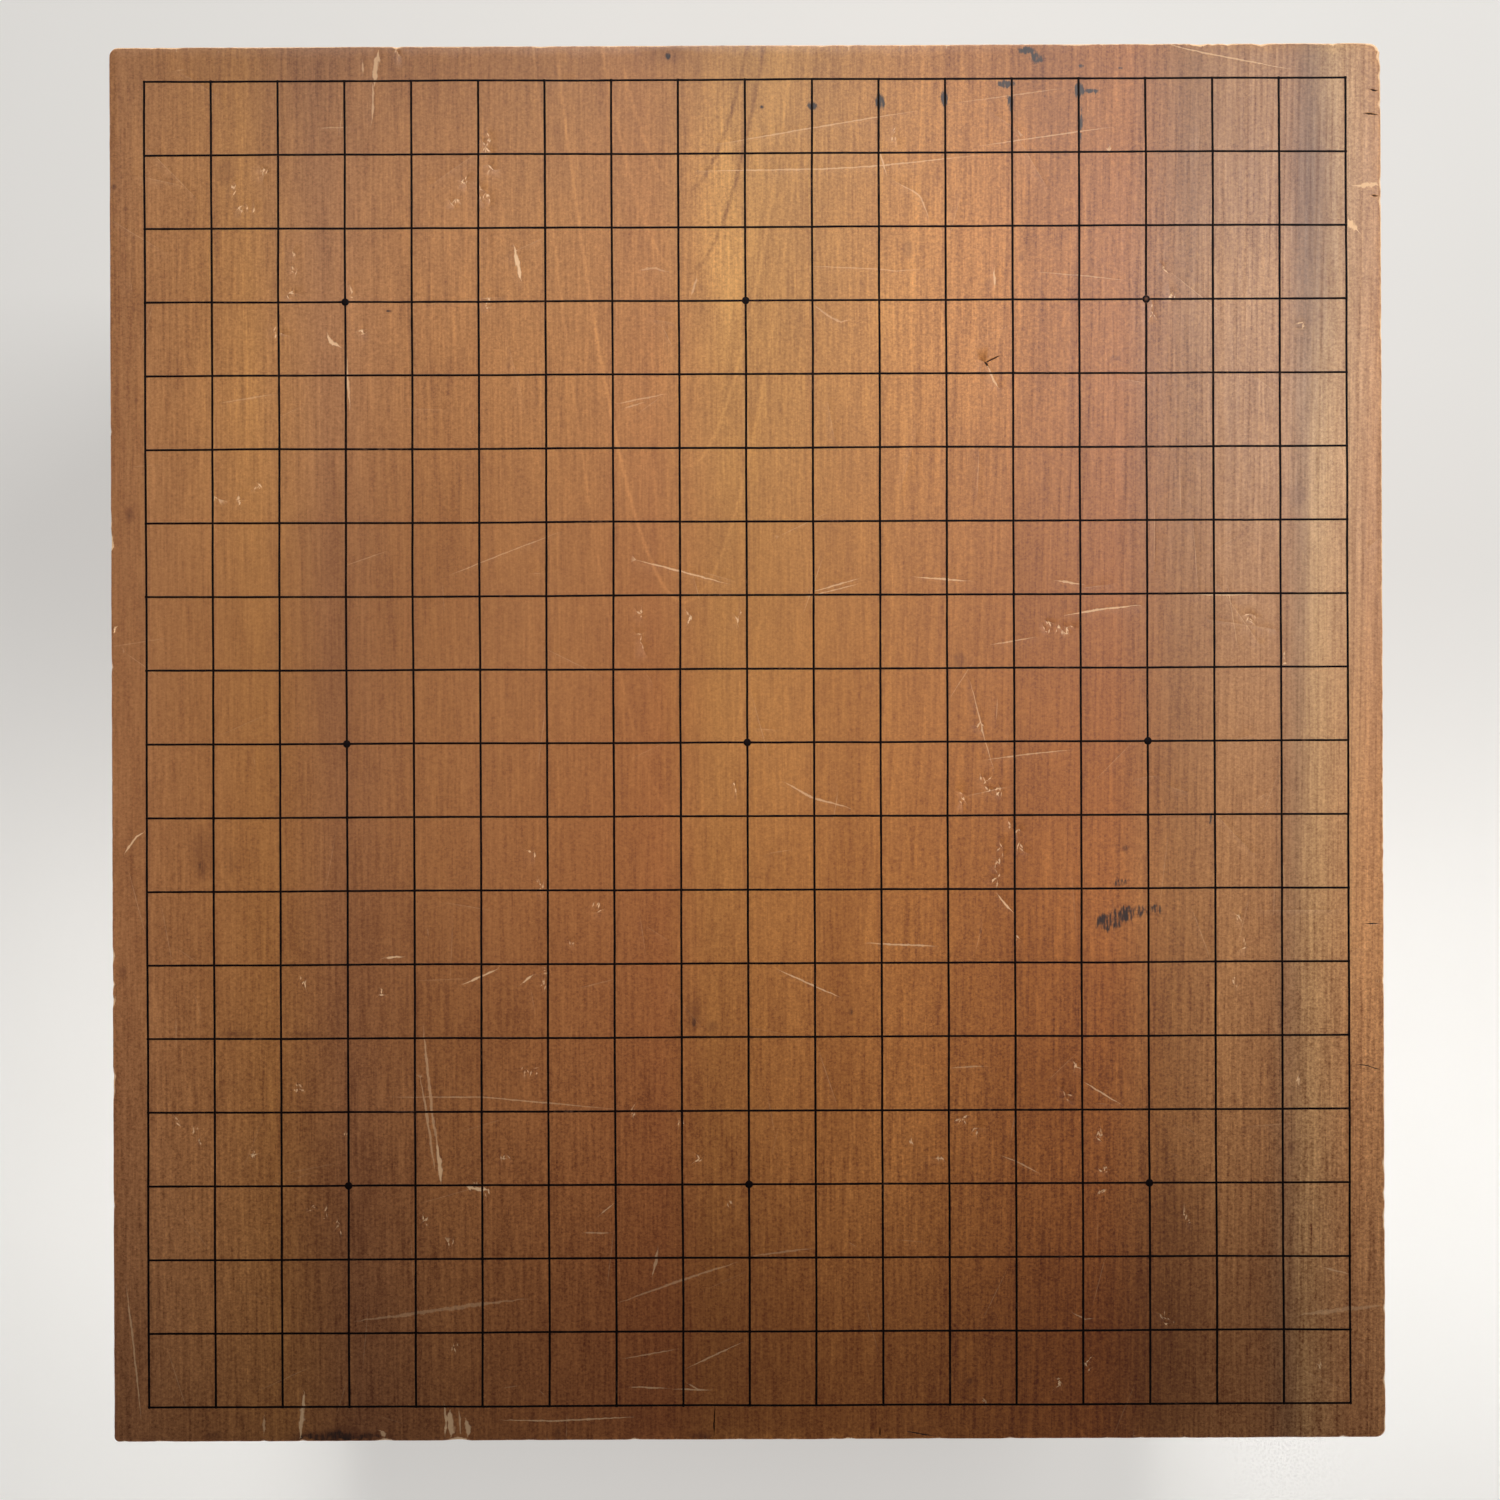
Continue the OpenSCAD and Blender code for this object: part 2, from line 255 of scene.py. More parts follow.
INK = (
    Blot("rear margin smudge", (1027, 50), (11, 5), 0.9),
    Blot("rear margin smudge end", (1037, 58), (9, 7), 0.85),
    Blot("eleventh column blot", (812, 106), (7, 5), 0.9),
    Blot("twelfth column blot", (880, 102), (6, 10), 0.95),
    Blot("thirteenth column blot", (944, 99), (4, 11), 0.9),
    Blot("fourteenth column blot", (1006, 84), (10, 5), 0.95),
    Blot("fourteenth column tail", (1011, 102), (4, 11), 0.9),
    Blot("fifteenth column blot", (1079, 91), (6, 9), 1.0),
    Blot("fifteenth column tail", (1090, 91), (11, 3), 0.9),
    Blot("fifteenth column streak", (1080, 125), (3, 24), 0.75),
    Blot("rear margin dot", (1081, 66), (4, 2.5), 0.9),
    Blot("rear margin second dot", (1121, 68), (3.5, 2), 0.9),
    Blot("right smear", (1104, 923), (12, 12), 0.68),
    Blot("right smear middle", (1115, 919), (12, 12), 0.68),
    Blot("right smear dark part", (1125, 914), (9, 11), 0.8),
    Blot("right smear side", (1139, 911), (13, 8), 0.58),
    Blot("right smear end", (1156, 909), (12, 7), 0.55),
    Blot("right smear top", (1121, 883), (13, 5), 0.55),
    Blot("seventeenth column smear", (1211, 820), (3, 10), 0.6),
    Blot("row bump", (930, 1036), (4, 2.5), 0.7),
)

# Broad patches that are lighter, above 0, or darker than the wood round them, in pixels; some are painted
# light and some painted shade, as marked below
PATCHES = (
    Blot("right margin glow", (1368, 960), (20, 330), 0.3),
    Blot("golden glow", (716, 190), (26, 110), 0.34),
    Blot("golden glow low", (722, 265), (20, 45), 0.22),
    Blot("polished patch", (1120, 880), (85, 70), 0.2),
    # Painted light: the upper left is made lighter
    Blot("upper left glow", (250, 400), (110, 170), 0.26),
    Blot("rear glow", (600, 320), (230, 220), 0.15),
    Blot("left rear glow", (430, 290), (140, 190), 0.15),
    Blot("right rear glow", (990, 310), (125, 210), 0.33),
    Blot("rear left corner glow", (210, 190), (120, 120), 0.12),
    # Painted light: the front left is made lighter
    Blot("left front glow", (200, 1250), (90, 180), 0.16),
    # Painted shade: the front is made darker
    Blot("dark front", (790, 1390), (370, 170), -0.32),
    Blot("dark front patch", (345, 1240), (75, 130), -0.12),
    # Painted shade: the front middle and the front right are made darker
    Blot("dark front middle", (715, 1220), (105, 240), -0.18),
    Blot("dark front right", (1180, 1340), (150, 140), -0.32),
    Blot("dark band right of the middle", (842, 1050), (30, 170), -0.1),
    Blot("dark lower left", (430, 1000), (130, 130), -0.1),
    Blot("dark right patch", (1180, 1215), (34, 55), -0.14),
    Blot("dark cells", (1060, 1075), (55, 45), -0.12),
    Blot("dark streak", (338, 650), (30, 190), -0.06),
    Blot("pale worn rear", (975, 110), (60, 40), 0.08),
    Blot("pale worn rear right", (1100, 100), (30, 35), 0.1),
    Blot("grey rear band", (1187, 150), (14, 100), -0.1),
    Blot("grey rear corner band", (1314, 190), (30, 180), -0.36),
    Blot("rear right margin", (1366, 190), (22, 180), -0.1),
    Blot("grey rear right cells", (1240, 130), (85, 110), -0.22),
    Blot("dark cells right of the middle", (845, 880), (36, 360), -0.11),
    Blot("dark rear right edge", (1322, 270), (34, 200), -0.21),
    Blot("upper left cells", (345, 290), (75, 250), 0.1),
    Blot("cells left of the arches", (470, 430), (150, 130), 0.1),
    Blot("dark middle cells", (640, 960), (270, 270), -0.09),
)

# Chips along the upper edge: place in pixels, half length and depth in millimetres
Chip = namedtuple("Chip", "name middle half size")
CHIPS = (
    Chip("rear nick", (397, 48), 1.5, 0.7),
    Chip("rear chips", (1197, 44), 4.0, 0.9),
    Chip("rear second chips", (1215, 43), 2.0, 0.6),
    Chip("rear dark chip", (1227, 42), 2.0, 0.6),
    Chip("rear pale chip", (1262, 42), 2.5, 0.9),
    Chip("rear corner chip", (1333, 41), 2.0, 0.6),
    Chip("rear right corner", (1377, 48), 6.0, 1.2),
    Chip("right upper nick", (1382, 76), 2.0, 0.6),
    Chip("right second nick", (1382, 104), 1.5, 0.5),
    Chip("left chip", (115, 958), 3.0, 0.6),
    Chip("left bright chip", (115, 985), 2.0, 0.7),
    Chip("left dot", (116, 997), 1.3, 0.6),
    Chip("left low dot", (116, 1006), 1.2, 0.5),
    Chip("left notch", (118, 1075), 2.5, 1.0),
    Chip("left long chip", (118, 1092), 5.0, 0.5),
    Chip("left low chip", (118, 1206), 2.5, 0.5),
    Chip("right chip", (1386, 1192), 2.0, 0.5),
    Chip("right second chip", (1386, 1215), 3.0, 0.6),
    Chip("right third chip", (1386, 1228), 1.5, 0.5),
    Chip("right fourth chip", (1387, 1310), 2.0, 0.5),
    Chip("right low chip", (1387, 1382), 2.5, 0.6),
    Chip("front notch", (1343, 1438), 2.0, 0.9),
    Chip("front splinter one", (301, 1440), 1.6, 0.6),
    Chip("front splinter two", (383, 1440), 4.0, 0.7),
    Chip("front splinter three", (455, 1440), 5.0, 0.9),
    Chip("front splinter four", (264, 1440), 1.5, 0.5),
)

# Zones of the wood from left to right: where each lies, in pixels across, and the wood's own colour
ZONES = (
    ("left margin", 110, (158, 104, 63)),
    ("left sapwood", 200, (156, 101, 55)),
    ("left golden zone", 262, (158, 103, 53)),
    ("left grey streak", 335, (144, 92, 54)),
    ("left heart", 430, (153, 97, 52)),
    ("left of the arches", 560, (159, 99, 52)),
    ("arch middle", 660, (162, 98, 50)),
    ("right of the arches", 720, (171, 111, 54)),
    ("right golden zone", 880, (174, 110, 52)),
    ("red zone", 1030, (156, 92, 41)),
    ("second red zone", 1110, (158, 92, 42)),
    ("right grey streak", 1172, (149, 95, 49)),
    ("right brown zone", 1235, (168, 114, 66)),
    ("beside the purple streak", 1276, (160, 107, 62)),
    ("purple streak", 1299, (150, 106, 68)),
    ("yellow zone", 1318, (180, 134, 86)),
    ("right margin", 1365, (176, 120, 73)),
)

# Growth rings that stand out near the heart: radius and width in millimetres, and shades, pale above 0
Ring = namedtuple("Ring", "name radius width right left")
SEEN_RINGS = (
    Ring("first arch", 200.7, 1.1, -0.36, 0.24),
    Ring("second arch", 201.35, 1.1, -0.3, 0.2),
    Ring("golden band", 202.1, 7.0, 0.16, 0.0),
    Ring("third arch", 202.85, 1.0, 0.26, 0.05),
    Ring("long arch", 203.9, 1.0, 0.2, 0.34),
    Ring("outer arch", 205.6, 0.8, 0.1, 0.16),
    Ring("pale line on the right", 215.3, 1.4, 0.16, 0.0),
)

# The star point whose lacquer is worn away in the middle, in pixels, and the spot's reach in millimetres
WORN_STAR = (1146, 299)
WORN_STAR_REACH = 0.7

# Where drying checks start along the ends, in millimetres from the middle
CHECK_PLACES = (-160, -96, -11, 44, 54, 118, 176)

# Small marks that the photo doesn't show one by one
EDGE_CHIPS = 60
HAIRLINES = 150
SIDE_MARKS = 22

# How much red, green and blue change as wood gets lighter or darker with age
AGE_SHARES = (0.85, 1.07, 1.25)

WEAR_SEED = 11
BUMP_STRENGTH = 0.5
BLOCK_SHARP_ANGLE = math.radians(28)
LEG_SHARP_ANGLE = math.radians(40)

# Lamps: place, aim and size in metres, with heights above the floor, and spread
Lamp = namedtuple("Lamp", "name place aim size spread")
REAR_LAMP = Lamp("rear_lamp", (0.05, 0.49, TOP + 0.37), (0.05, 0.07, TOP), (0.97, 0.26), math.radians(18))
WINDOW = Lamp("window", (0.64, 0.52, TOP + 1.15), (0.12, 0.42, TOP), (0.6, 0.21), math.radians(88))
FILL = Lamp("fill", (1.1, 1.15, 0.1), (0.1, 0.1, 0.22), (0.6, 0.16), math.radians(50))
FLOOR_REACH = 6.0
LENS_MM = 36
SENSOR_MM = 36


class BlockSettings(bpy.types.PropertyGroup):
    """Sizes and colours of the wooden block."""

    corner_radius: FloatProperty(
        name="Corner Radius", description="Radius of the upright corners", default=3 * MM, unit="LENGTH")
    sharp_corner_radius: FloatProperty(
        name="Sharp Corner Radius", description="Radius of the front left corner, which is less worn",
        default=1.8 * MM, unit="LENGTH")
    edge_round: FloatProperty(
        name="Edge Rounding", description="Rounding of the upper and lower edges",
        default=0.55 * MM, unit="LENGTH")
    navel_side: FloatProperty(
        name="Recess Side", description="Side of the square recess in the underside",
        default=70 * MM, unit="LENGTH")
    navel_rim: FloatProperty(
        name="Recess Rim", description="Depth of the recess's upright rim", default=6 * MM, unit="LENGTH")
    navel_point: FloatProperty(
        name="Recess Point", description="Depth of the hollow pyramid above the rim",
        default=18 * MM, unit="LENGTH")
    socket_radius: FloatProperty(
        name="Socket Radius", description="Radius of the sockets for the legs",
        default=18.05 * MM, unit="LENGTH")
    socket_depth: FloatProperty(
        name="Socket Depth", description="Depth of the sockets for the legs", default=35 * MM, unit="LENGTH")
    pith_across: FloatProperty(
        name="Pith Across", description="Place of the trunk's middle across the board",
        default=-20.8 * MM, unit="LENGTH")
    pith_depth: FloatProperty(
        name="Pith Depth", description="Depth of the trunk's middle below the top", default=205 * MM,
        unit="LENGTH")
    pith_rise: FloatProperty(
        name="Pith Rise", description="How steeply the trunk's middle rises to the rear", default=0.0234)
    bare_colour: FloatVectorProperty(
        name="Bare Wood", description="Fresh wood in scratches and chips", default=srgb(226, 184, 140),
        subtype="COLOR")
    # Also the colour of the painted shade in the recess underneath
    grime_colour: FloatVectorProperty(
        name="Grime", description="Stains and dirt", default=srgb(84, 38, 18), subtype="COLOR")
    crack_colour: FloatVectorProperty(
        name="Cracks", description="Dark inside of cracks and knots", default=srgb(34, 16, 10),
        subtype="COLOR")
    ink_colour: FloatVectorProperty(
        name="Ink", description="Smeared lacquer and ink on the wood", default=srgb(26, 23, 27),
        subtype="COLOR")


class LacquerSettings(bpy.types.PropertyGroup):
    """Sizes and colours of the lines and star points."""

    column_width: FloatProperty(
        name="Column Width", description="Width of a column line", default=0.8 * MM, unit="LENGTH")
    row_width: FloatProperty(
        name="Row Width", description="Width of a row line", default=0.75 * MM, unit="LENGTH")
    star_size: FloatProperty(
        name="Star Size", description="Diameter of a star point", default=2.6 * MM, unit="LENGTH")
    wobble: FloatProperty(
        name="Wobble", description="How far a hand-drawn line strays", default=0.3 * MM, unit="LENGTH")
    seed: IntProperty(name="Seed", description="Seed of the lines' wobble", default=4)
    colour: FloatVectorProperty(
        name="Lacquer", description="Colour of the lacquer", default=srgb(16, 8, 8), subtype="COLOR")


class LegSettings(bpy.types.PropertyGroup):
    """Sizes and colours of the carved legs."""

    ridges: IntProperty(name="Ridges", description="Number of carved ridges round a leg", default=8)
    flute_depth: FloatProperty(
        name="Flute Depth", description="Depth of the flutes at the belly", default=7 * MM, unit="LENGTH")
    crown_radius: FloatProperty(
        name="Crown Radius", description="Radius where a leg meets the block", default=44 * MM,
        unit="LENGTH")
    crown_edge: FloatProperty(
        name="Crown Edge", description="Thickness of the crown's upright edge", default=5 * MM,
        unit="LENGTH")
    neck_radius: FloatProperty(
        name="Neck Radius", description="Radius of the neck under the crown", default=33 * MM, unit="LENGTH")
    neck_drop: FloatProperty(
        name="Neck Drop", description="Underside of the block to the neck", default=22 * MM, unit="LENGTH")
    belly_radius: FloatProperty(
        name="Belly Radius", description="Radius of a leg's widest part", default=52 * MM, unit="LENGTH")
    belly_drop: FloatProperty(
        name="Belly Drop", description="Underside of the block to the belly", default=58 * MM,
        unit="LENGTH")
    ankle_radius: FloatProperty(
        name="Ankle Radius", description="Radius of the ankle", default=28 * MM, unit="LENGTH")
    ankle_rise: FloatProperty(
        name="Ankle Rise", description="Floor to the ankle", default=15 * MM, unit="LENGTH")
    hem_radius: FloatProperty(
        name="Hem Radius", description="Radius of the hem below the ankle", default=30.5 * MM,
        unit="LENGTH")
    foot_radius: FloatProperty(
        name="Foot Radius", description="Radius of the round foot", default=23 * MM, unit="LENGTH")
    foot_height: FloatProperty(
        name="Foot Height", description="Height of the round foot", default=5 * MM, unit="LENGTH")
    tenon_radius: FloatProperty(
        name="Tenon Radius", description="Radius of the tenon", default=18 * MM, unit="LENGTH")
    colour: FloatVectorProperty(
        name="Leg Wood", description="Colour of the legs", default=srgb(146, 86, 43), subtype="COLOR")
    flute_colour: FloatVectorProperty(
        name="Flutes", description="Colour of old wax in the flutes", default=srgb(84, 45, 22),
        subtype="COLOR")


class StageSettings(bpy.types.PropertyGroup):
    """Camera, light and floor."""

    camera_height: FloatProperty(
        name="Camera Height", description="Height of the camera above the board's top", default=0.5,
        unit="LENGTH")
    camera_across: FloatProperty(
        name="Camera Across", description="Place of the camera across the board", default=0.87 * MM,
        unit="LENGTH")
    camera_along: FloatProperty(
        name="Camera Along", description="Place of the camera along the board", default=-2.53 * MM,
        unit="LENGTH")
    lamp_power: FloatProperty(
        name="Lamp Power", description="Power of the soft lamp behind the board", default=0.68, unit="POWER")
    window_power: FloatProperty(
        name="Window Power", description="Power of the high lamp at the rear right", default=2.7,
        unit="POWER")
    fill_power: FloatProperty(
        name="Fill Power", description="Power of each low lamp that lights the sides", default=0.7,
        unit="POWER")
    sky: FloatProperty(
        name="Sky", description="Strength of the even light from all round", default=0.11,
        min=0, max=1, subtype="FACTOR")
    floor_glow: FloatProperty(
        name="Floor Glow", description="How much paler the floor looks than it is lit", default=0.48,
        min=0, max=1, subtype="FACTOR")
    wall: FloatProperty(
        name="Wall", description="How pale the far wall round the board looks", default=0.54,
        min=0, max=1, subtype="FACTOR")
    floor_colour: FloatVectorProperty(
        name="Floor", description="Colour of the floor", default=srgb(193, 191, 187), subtype="COLOR")


class Value:
    """A node's output; arithmetic on it adds Math nodes to its tree."""

    def __init__(self, nodes, socket):
        self.nodes = nodes
        self.socket = socket

    def __add__(self, other):
        return self.nodes.math("ADD", self, other)

    def __sub__(self, other):
        return self.nodes.math("SUBTRACT", self, other)

    def __rsub__(self, other):
        return self.nodes.math("SUBTRACT", other, self)

    def __mul__(self, other):
        return self.nodes.math("MULTIPLY", self, other)

    def __truediv__(self, other):
        return self.nodes.math("DIVIDE", self, other)

    def __rtruediv__(self, other):
        return self.nodes.math("DIVIDE", other, self)

    def __pow__(self, other):
        return self.nodes.math("POWER", self, other)

    def __abs__(self):
        return self.nodes.math("ABSOLUTE", self)

    __radd__ = __add__
    __rmul__ = __mul__

    def root(self):
        """Square root."""
        return self.nodes.math("SQRT", self)

    def sine(self):
        """Sine of an angle in radians."""
        return self.nodes.math("SINE", self)

    def cosine(self):
        """Cosine of an angle in radians."""
        return self.nodes.math("COSINE", self)

    def part(self):
        """What is left after the whole number."""
        return self.nodes.math("FRACT", self)

    def whole(self):
        """Nearest whole number."""
        return self.nodes.math("ROUND", self)

    def at_least(self, low):
        """The greater of this and low."""
        return self.nodes.math("MAXIMUM", self, low)

    def at_most(self, high):
        """The lesser of this and high."""
        return self.nodes.math("MINIMUM", self, high)

    def clipped(self):
        """This value kept between 0 and 1."""
        return self.at_least(0).at_most(1)

    def eased(self, start, end, low=0, high=1):
        """Runs from low at start to high at end, level at both."""
        settings = {"interpolation_type": "SMOOTHSTEP"}
        inputs = {"Value": self, "From Min": start, "From Max": end, "To Min": low, "To Max": high}
        return self.nodes.node("ShaderNodeMapRange", settings, inputs)


class Nodes:
    """The nodes of one tree, made and joined from Python."""

    def __init__(self, tree):
        self.tree = tree

    def node(self, kind, settings=None, inputs=None, out=None):
        """Adds a node, sets its settings and then its inputs, and gives the named outputs or the first."""
        made = self.tree.nodes.new(kind)
        for name, setting in (settings or {}).items():
            if name == "stops":
                self.set_stops(made.color_ramp, setting)
            else:
                setattr(made, name, setting)
        for key, value in (inputs or {}).items():
            socket = made.inputs[key] if isinstance(key, int) else self.shown(made.inputs, key)
            if isinstance(value, Value):
                self.tree.links.new(value.socket, socket)
            else:
                socket.default_value = value
        if isinstance(out, tuple):
            return tuple(Value(self, self.shown(made.outputs, name)) for name in out)
        shown = [socket for socket in made.outputs if socket.enabled]
        if out is None and not shown:
            return made
        return Value(self, shown[0] if out is None else self.shown(made.outputs, out))

    @staticmethod
    def shown(sockets, name):
        """The socket of that name that the node's settings leave in use."""
        return next(socket for socket in sockets if socket.name == name and socket.enabled)

    @staticmethod
    def set_stops(ramp, stops):
        """Gives a ramp these stops, each a place and a colour."""
        while len(ramp.elements) < len(stops):
            ramp.elements.new(1.0)
        for element, (place, colour) in zip(ramp.elements, stops):
            element.position = place
            element.color = (*colour, 1)

    def math(self, operation, first, second=None):
        """A Math node on one or two values."""
        inputs = {0: first} if second is None else {0: first, 1: second}
        return self.node("ShaderNodeMath", {"operation": operation}, inputs)

    def vector(self, x, y, z):
        """A vector from three values."""
        return self.node("ShaderNodeCombineXYZ", inputs={"X": x, "Y": y, "Z": z})

    def parts(self, vector):
        """The three values of a vector."""
        return self.node("ShaderNodeSeparateXYZ", inputs={"Vector": vector}, out=("X", "Y", "Z"))

    def noise(self, x, y, z, detail=2.0, roughness=0.5):
        """Soft noise around 0.5 at a place whose unit is the size of its grains."""
        inputs = {"Vector": self.vector(x, y, z), "Scale": 1.0, "Detail": detail, "Roughness": roughness}
        return self.node("ShaderNodeTexNoise", inputs=inputs)


class Shader(Nodes):
    """The nodes of one material."""

    def __init__(self, name):
        self.material = bpy.data.materials.new(name)
        self.material.use_nodes = True
        self.material.node_tree.nodes.clear()
        super().__init__(self.material.node_tree)

    def place(self):
        """Object coordinates."""
        return self.parts(self.node("ShaderNodeTexCoord", out="Object"))

    def facing(self):
        """The surface's direction in the object's own axes."""
        return self.parts(self.node("ShaderNodeTexCoord", out="Normal"))

    def attribute(self, name):
        """A number stored on the piece's points."""
        settings = {"attribute_type": "GEOMETRY", "attribute_name": name}
        return self.node("ShaderNodeAttribute", settings, out="Fac")

    def mix(self, factor, first, second):
        """Two colours mixed by a factor; a tuple is a fixed colour."""
        colours = [(*c, 1) if isinstance(c, (tuple, list)) else c for c in (first, second)]
        settings = {"data_type": "RGBA", "blend_type": "MIX", "clamp_factor": True}
        return self.node("ShaderNodeMix", settings, {0: factor, 6: colours[0], 7: colours[1]}, out="Result")

    def tinted(self, colour, red, green, blue):
        """A colour with each of its three parts multiplied by a value."""
        shares = self.vector(red, green, blue)
        return self.node("ShaderNodeVectorMath", {"operation": "MULTIPLY"}, {0: colour, 1: shares})

    def aged(self, colour, change):
        """A colour made lighter and yellower, or darker and redder, by a share."""
        return self.tinted(colour, *(1 + change * share for share in AGE_SHARES))

    def finish(self, colour, roughness, height, bump_distance, **fixed):
        """Joins colour, roughness and bump to a surface shader; fixed holds its unvarying sockets."""
        relief = {"Strength": BUMP_STRENGTH, "Distance": bump_distance, "Height": height}
        bump = self.node("ShaderNodeBump", inputs=relief)
        inputs = {"Base Color": colour, "Roughness": roughness, "Normal": bump}
        inputs.update({name.replace("_", " "): value for name, value in fixed.items()})
        surface = self.node("ShaderNodeBsdfPrincipled", inputs=inputs)
        self.node("ShaderNodeOutputMaterial", inputs={"Surface": surface})
        return self.material


def bump_at(value, middle, reach):
    """A smooth hump of height 1 round a middle value, gone at reach."""
    away = (value - middle) / reach
    return (1 - away * away).at_least(0) ** 2


def zone_stops(settings):
    """Ramp stops for the wood's zones, and the width that the ramp covers."""
    places = [(on_board(px, PHOTO_MIDDLE[1])[0] * MM - settings.pith_across, c) for _, px, c in ZONES]
    low, high = places[0][0], places[-1][0]
    return low, high, [((place - low) / (high - low), srgb(*colour)) for place, colour in places]


def block_wood(settings):
    """Old waxed wood cut beside the heart: arches on the middle of the top, straight grain beside them."""
    s = Shader("worn_wood")
    x, y, z = s.place()
    _, facing_y, _ = s.facing()

    # Growth rings lie round the trunk's middle, which rises slightly to the rear
    wander = s.noise(x * 7, y * 3, z * 7) - 0.5
    across = x - settings.pith_across + wander * (3 * MM)
    above = z - (TOP - settings.pith_depth) - y * settings.pith_rise
    radius = (across * across + above * above).root()
    right = across.eased(-12 * MM, 12 * MM)

    # The zones follow the rings outwards, and run straight near the heart
    heart_square = (50 * MM) ** 2
    depth_square = settings.pith_depth ** 2
    lean = (1 + (above * above - depth_square) / (across * across + heart_square)).at_least(0.04).root()
    low, high, stops = zone_stops(settings)
    blur = (s.noise(x * 30, y * 2.5, z * 30) - 0.5) * (12 * MM)
    zone_place = (across * lean - low + blur) / (high - low)
    colour = s.node("ShaderNodeValToRGB", {"stops": stops}, {"Fac": zone_place})

    # Ring lines, fibres and pores change how light the wood is
    rings = s.noise(radius * 760, y * 4, z * 4, detail=2.5, roughness=0.55) - 0.5
    wide_rings = s.noise(radius * 190, y * 3, z * 3, detail=1) - 0.5
    late_wood = (radius * 600 + wide_rings * 3 + s.noise(x * 60, y * 5, z * 60) * 0.6).part() ** 3
    fibres = s.noise(x * 820, y * 38, z * 820, detail=3, roughness=0.7) - 0.5
    grains = s.noise(x * 1250, y * 1350, z * 1250, detail=2, roughness=0.7) - 0.5
    shimmer = s.noise(x * 300, y * 620, z * 300, detail=2) - 0.5
    clouds = s.noise(x * 16, y * 9, z * 16, detail=3) - 0.5
    flank = abs(across).eased(30 * MM, 100 * MM)
    right_flank = flank * right
    handled = (60 * MM - y).eased(0, 200 * MM)
    outer = abs(y).eased(30 * MM, 160 * MM)
    light = 1 + fibres * (0.9 + outer * 0.4 + handled * 0.3) + clouds * 0.3
    light = light + grains * (0.95 + right_flank * 0.3 + outer * 0.45 + handled * 0.7)
    light = light + shimmer * (0.12 + right_flank * 0.06) + wide_rings * flank * 0.2
    light = light + rings * (0.12 + flank * 0.18 + right_flank * 0.25)
    light = light - late_wood * (flank * 0.06 + right_flank * 0.13)
    slope = ((across / radius) ** 2 + settings.pith_rise ** 2).root()
    for ring in SEEN_RINGS:
        shade = right * ring.right + (1 - right) * ring.left
        light = light + bump_at(radius, ring.radius * MM, slope * (ring.width * MM)) * shade

    # The ends show the rings as lines and soak up more wax
    end = abs(facing_y).eased(0.6, 0.85)
    end_pores = s.noise(x * 1700, y * 60, z * 1700, detail=2) - 0.5
    light = light * (1 - end * 0.3) + end * (rings * 0.35 + end_pores * 0.25)

    # The playing area is paler from use than the margins round it, and the broad patches, painted light and
    # painted shade among them, make the wood lighter or darker
    played_x = (GRID_HALF.x - abs(x)).eased(-2 * MM, 3 * MM)
    played_y = (GRID_HALF.y - abs(y)).eased(-2 * MM, 3 * MM)
    light = light * (0.94 + played_x * played_y * 0.06) * (1 + s.attribute("tone"))
    colour = s.aged(colour, light.at_least(0.1) - 1)

    # Painted sheen: the wood is made less red towards the rear and redder at the front, most of all over the
    # heart
    painted_sheen = y.eased(-230 * MM, 230 * MM, -0.5, 1) * (1 - flank * 0.6)
    colour = s.tinted(colour, 1 - painted_sheen * 0.07, 1 + painted_sheen * 0.05, 1 + painted_sheen * 0.05)

    # Wear and painted light: grime and the recess's painted shade, bare wood and the edges' painted
    # highlight, and ink are stored on the points; the grain makes their borders ragged
    speck = s.noise(x * 1300, y * 700, z * 1300, detail=3)
    streaks = s.noise(x * 1000, y * 230, z * 1000, detail=3, roughness=0.6)
    cut = (s.attribute("cut") + (speck - 0.5) * 0.6 + (streaks - 0.5) * 1.1).eased(0.22, 0.62)
    grime = (s.attribute("grime") * (0.4 + streaks * 1.2)).clipped()
    stain = (s.attribute("grime") + (streaks - 0.5) * 0.9).eased(0.6, 1.0)
    bare = cut * s.attribute("bare")
    ink = s.attribute("ink")
    ink = (ink * 1.15 + (streaks - 0.5) * 2.4 - 0.4).eased(0, 0.55) * ink.eased(0.02, 0.25)
    colour = s.mix(grime * 0.75, colour, tuple(settings.grime_colour))
    colour = s.mix((stain + cut * s.attribute("crack")).clipped(), colour, tuple(settings.crack_colour))
    colour = s.mix(bare, colour, tuple(settings.bare_colour))
    colour = s.mix(ink * 0.93, colour, tuple(settings.ink_colour))

    roughness = 0.45 + clouds * 0.12 - fibres * 0.15 + late_wood * flank * 0.05 + bare * 0.25 + end * 0.08
    height = fibres * 0.5 + rings * 0.25 + grains * 0.2 + end * end_pores
    return s.finish(colour, roughness.clipped(), height, 0.12 * MM, Specular_IOR_Level=0.5)


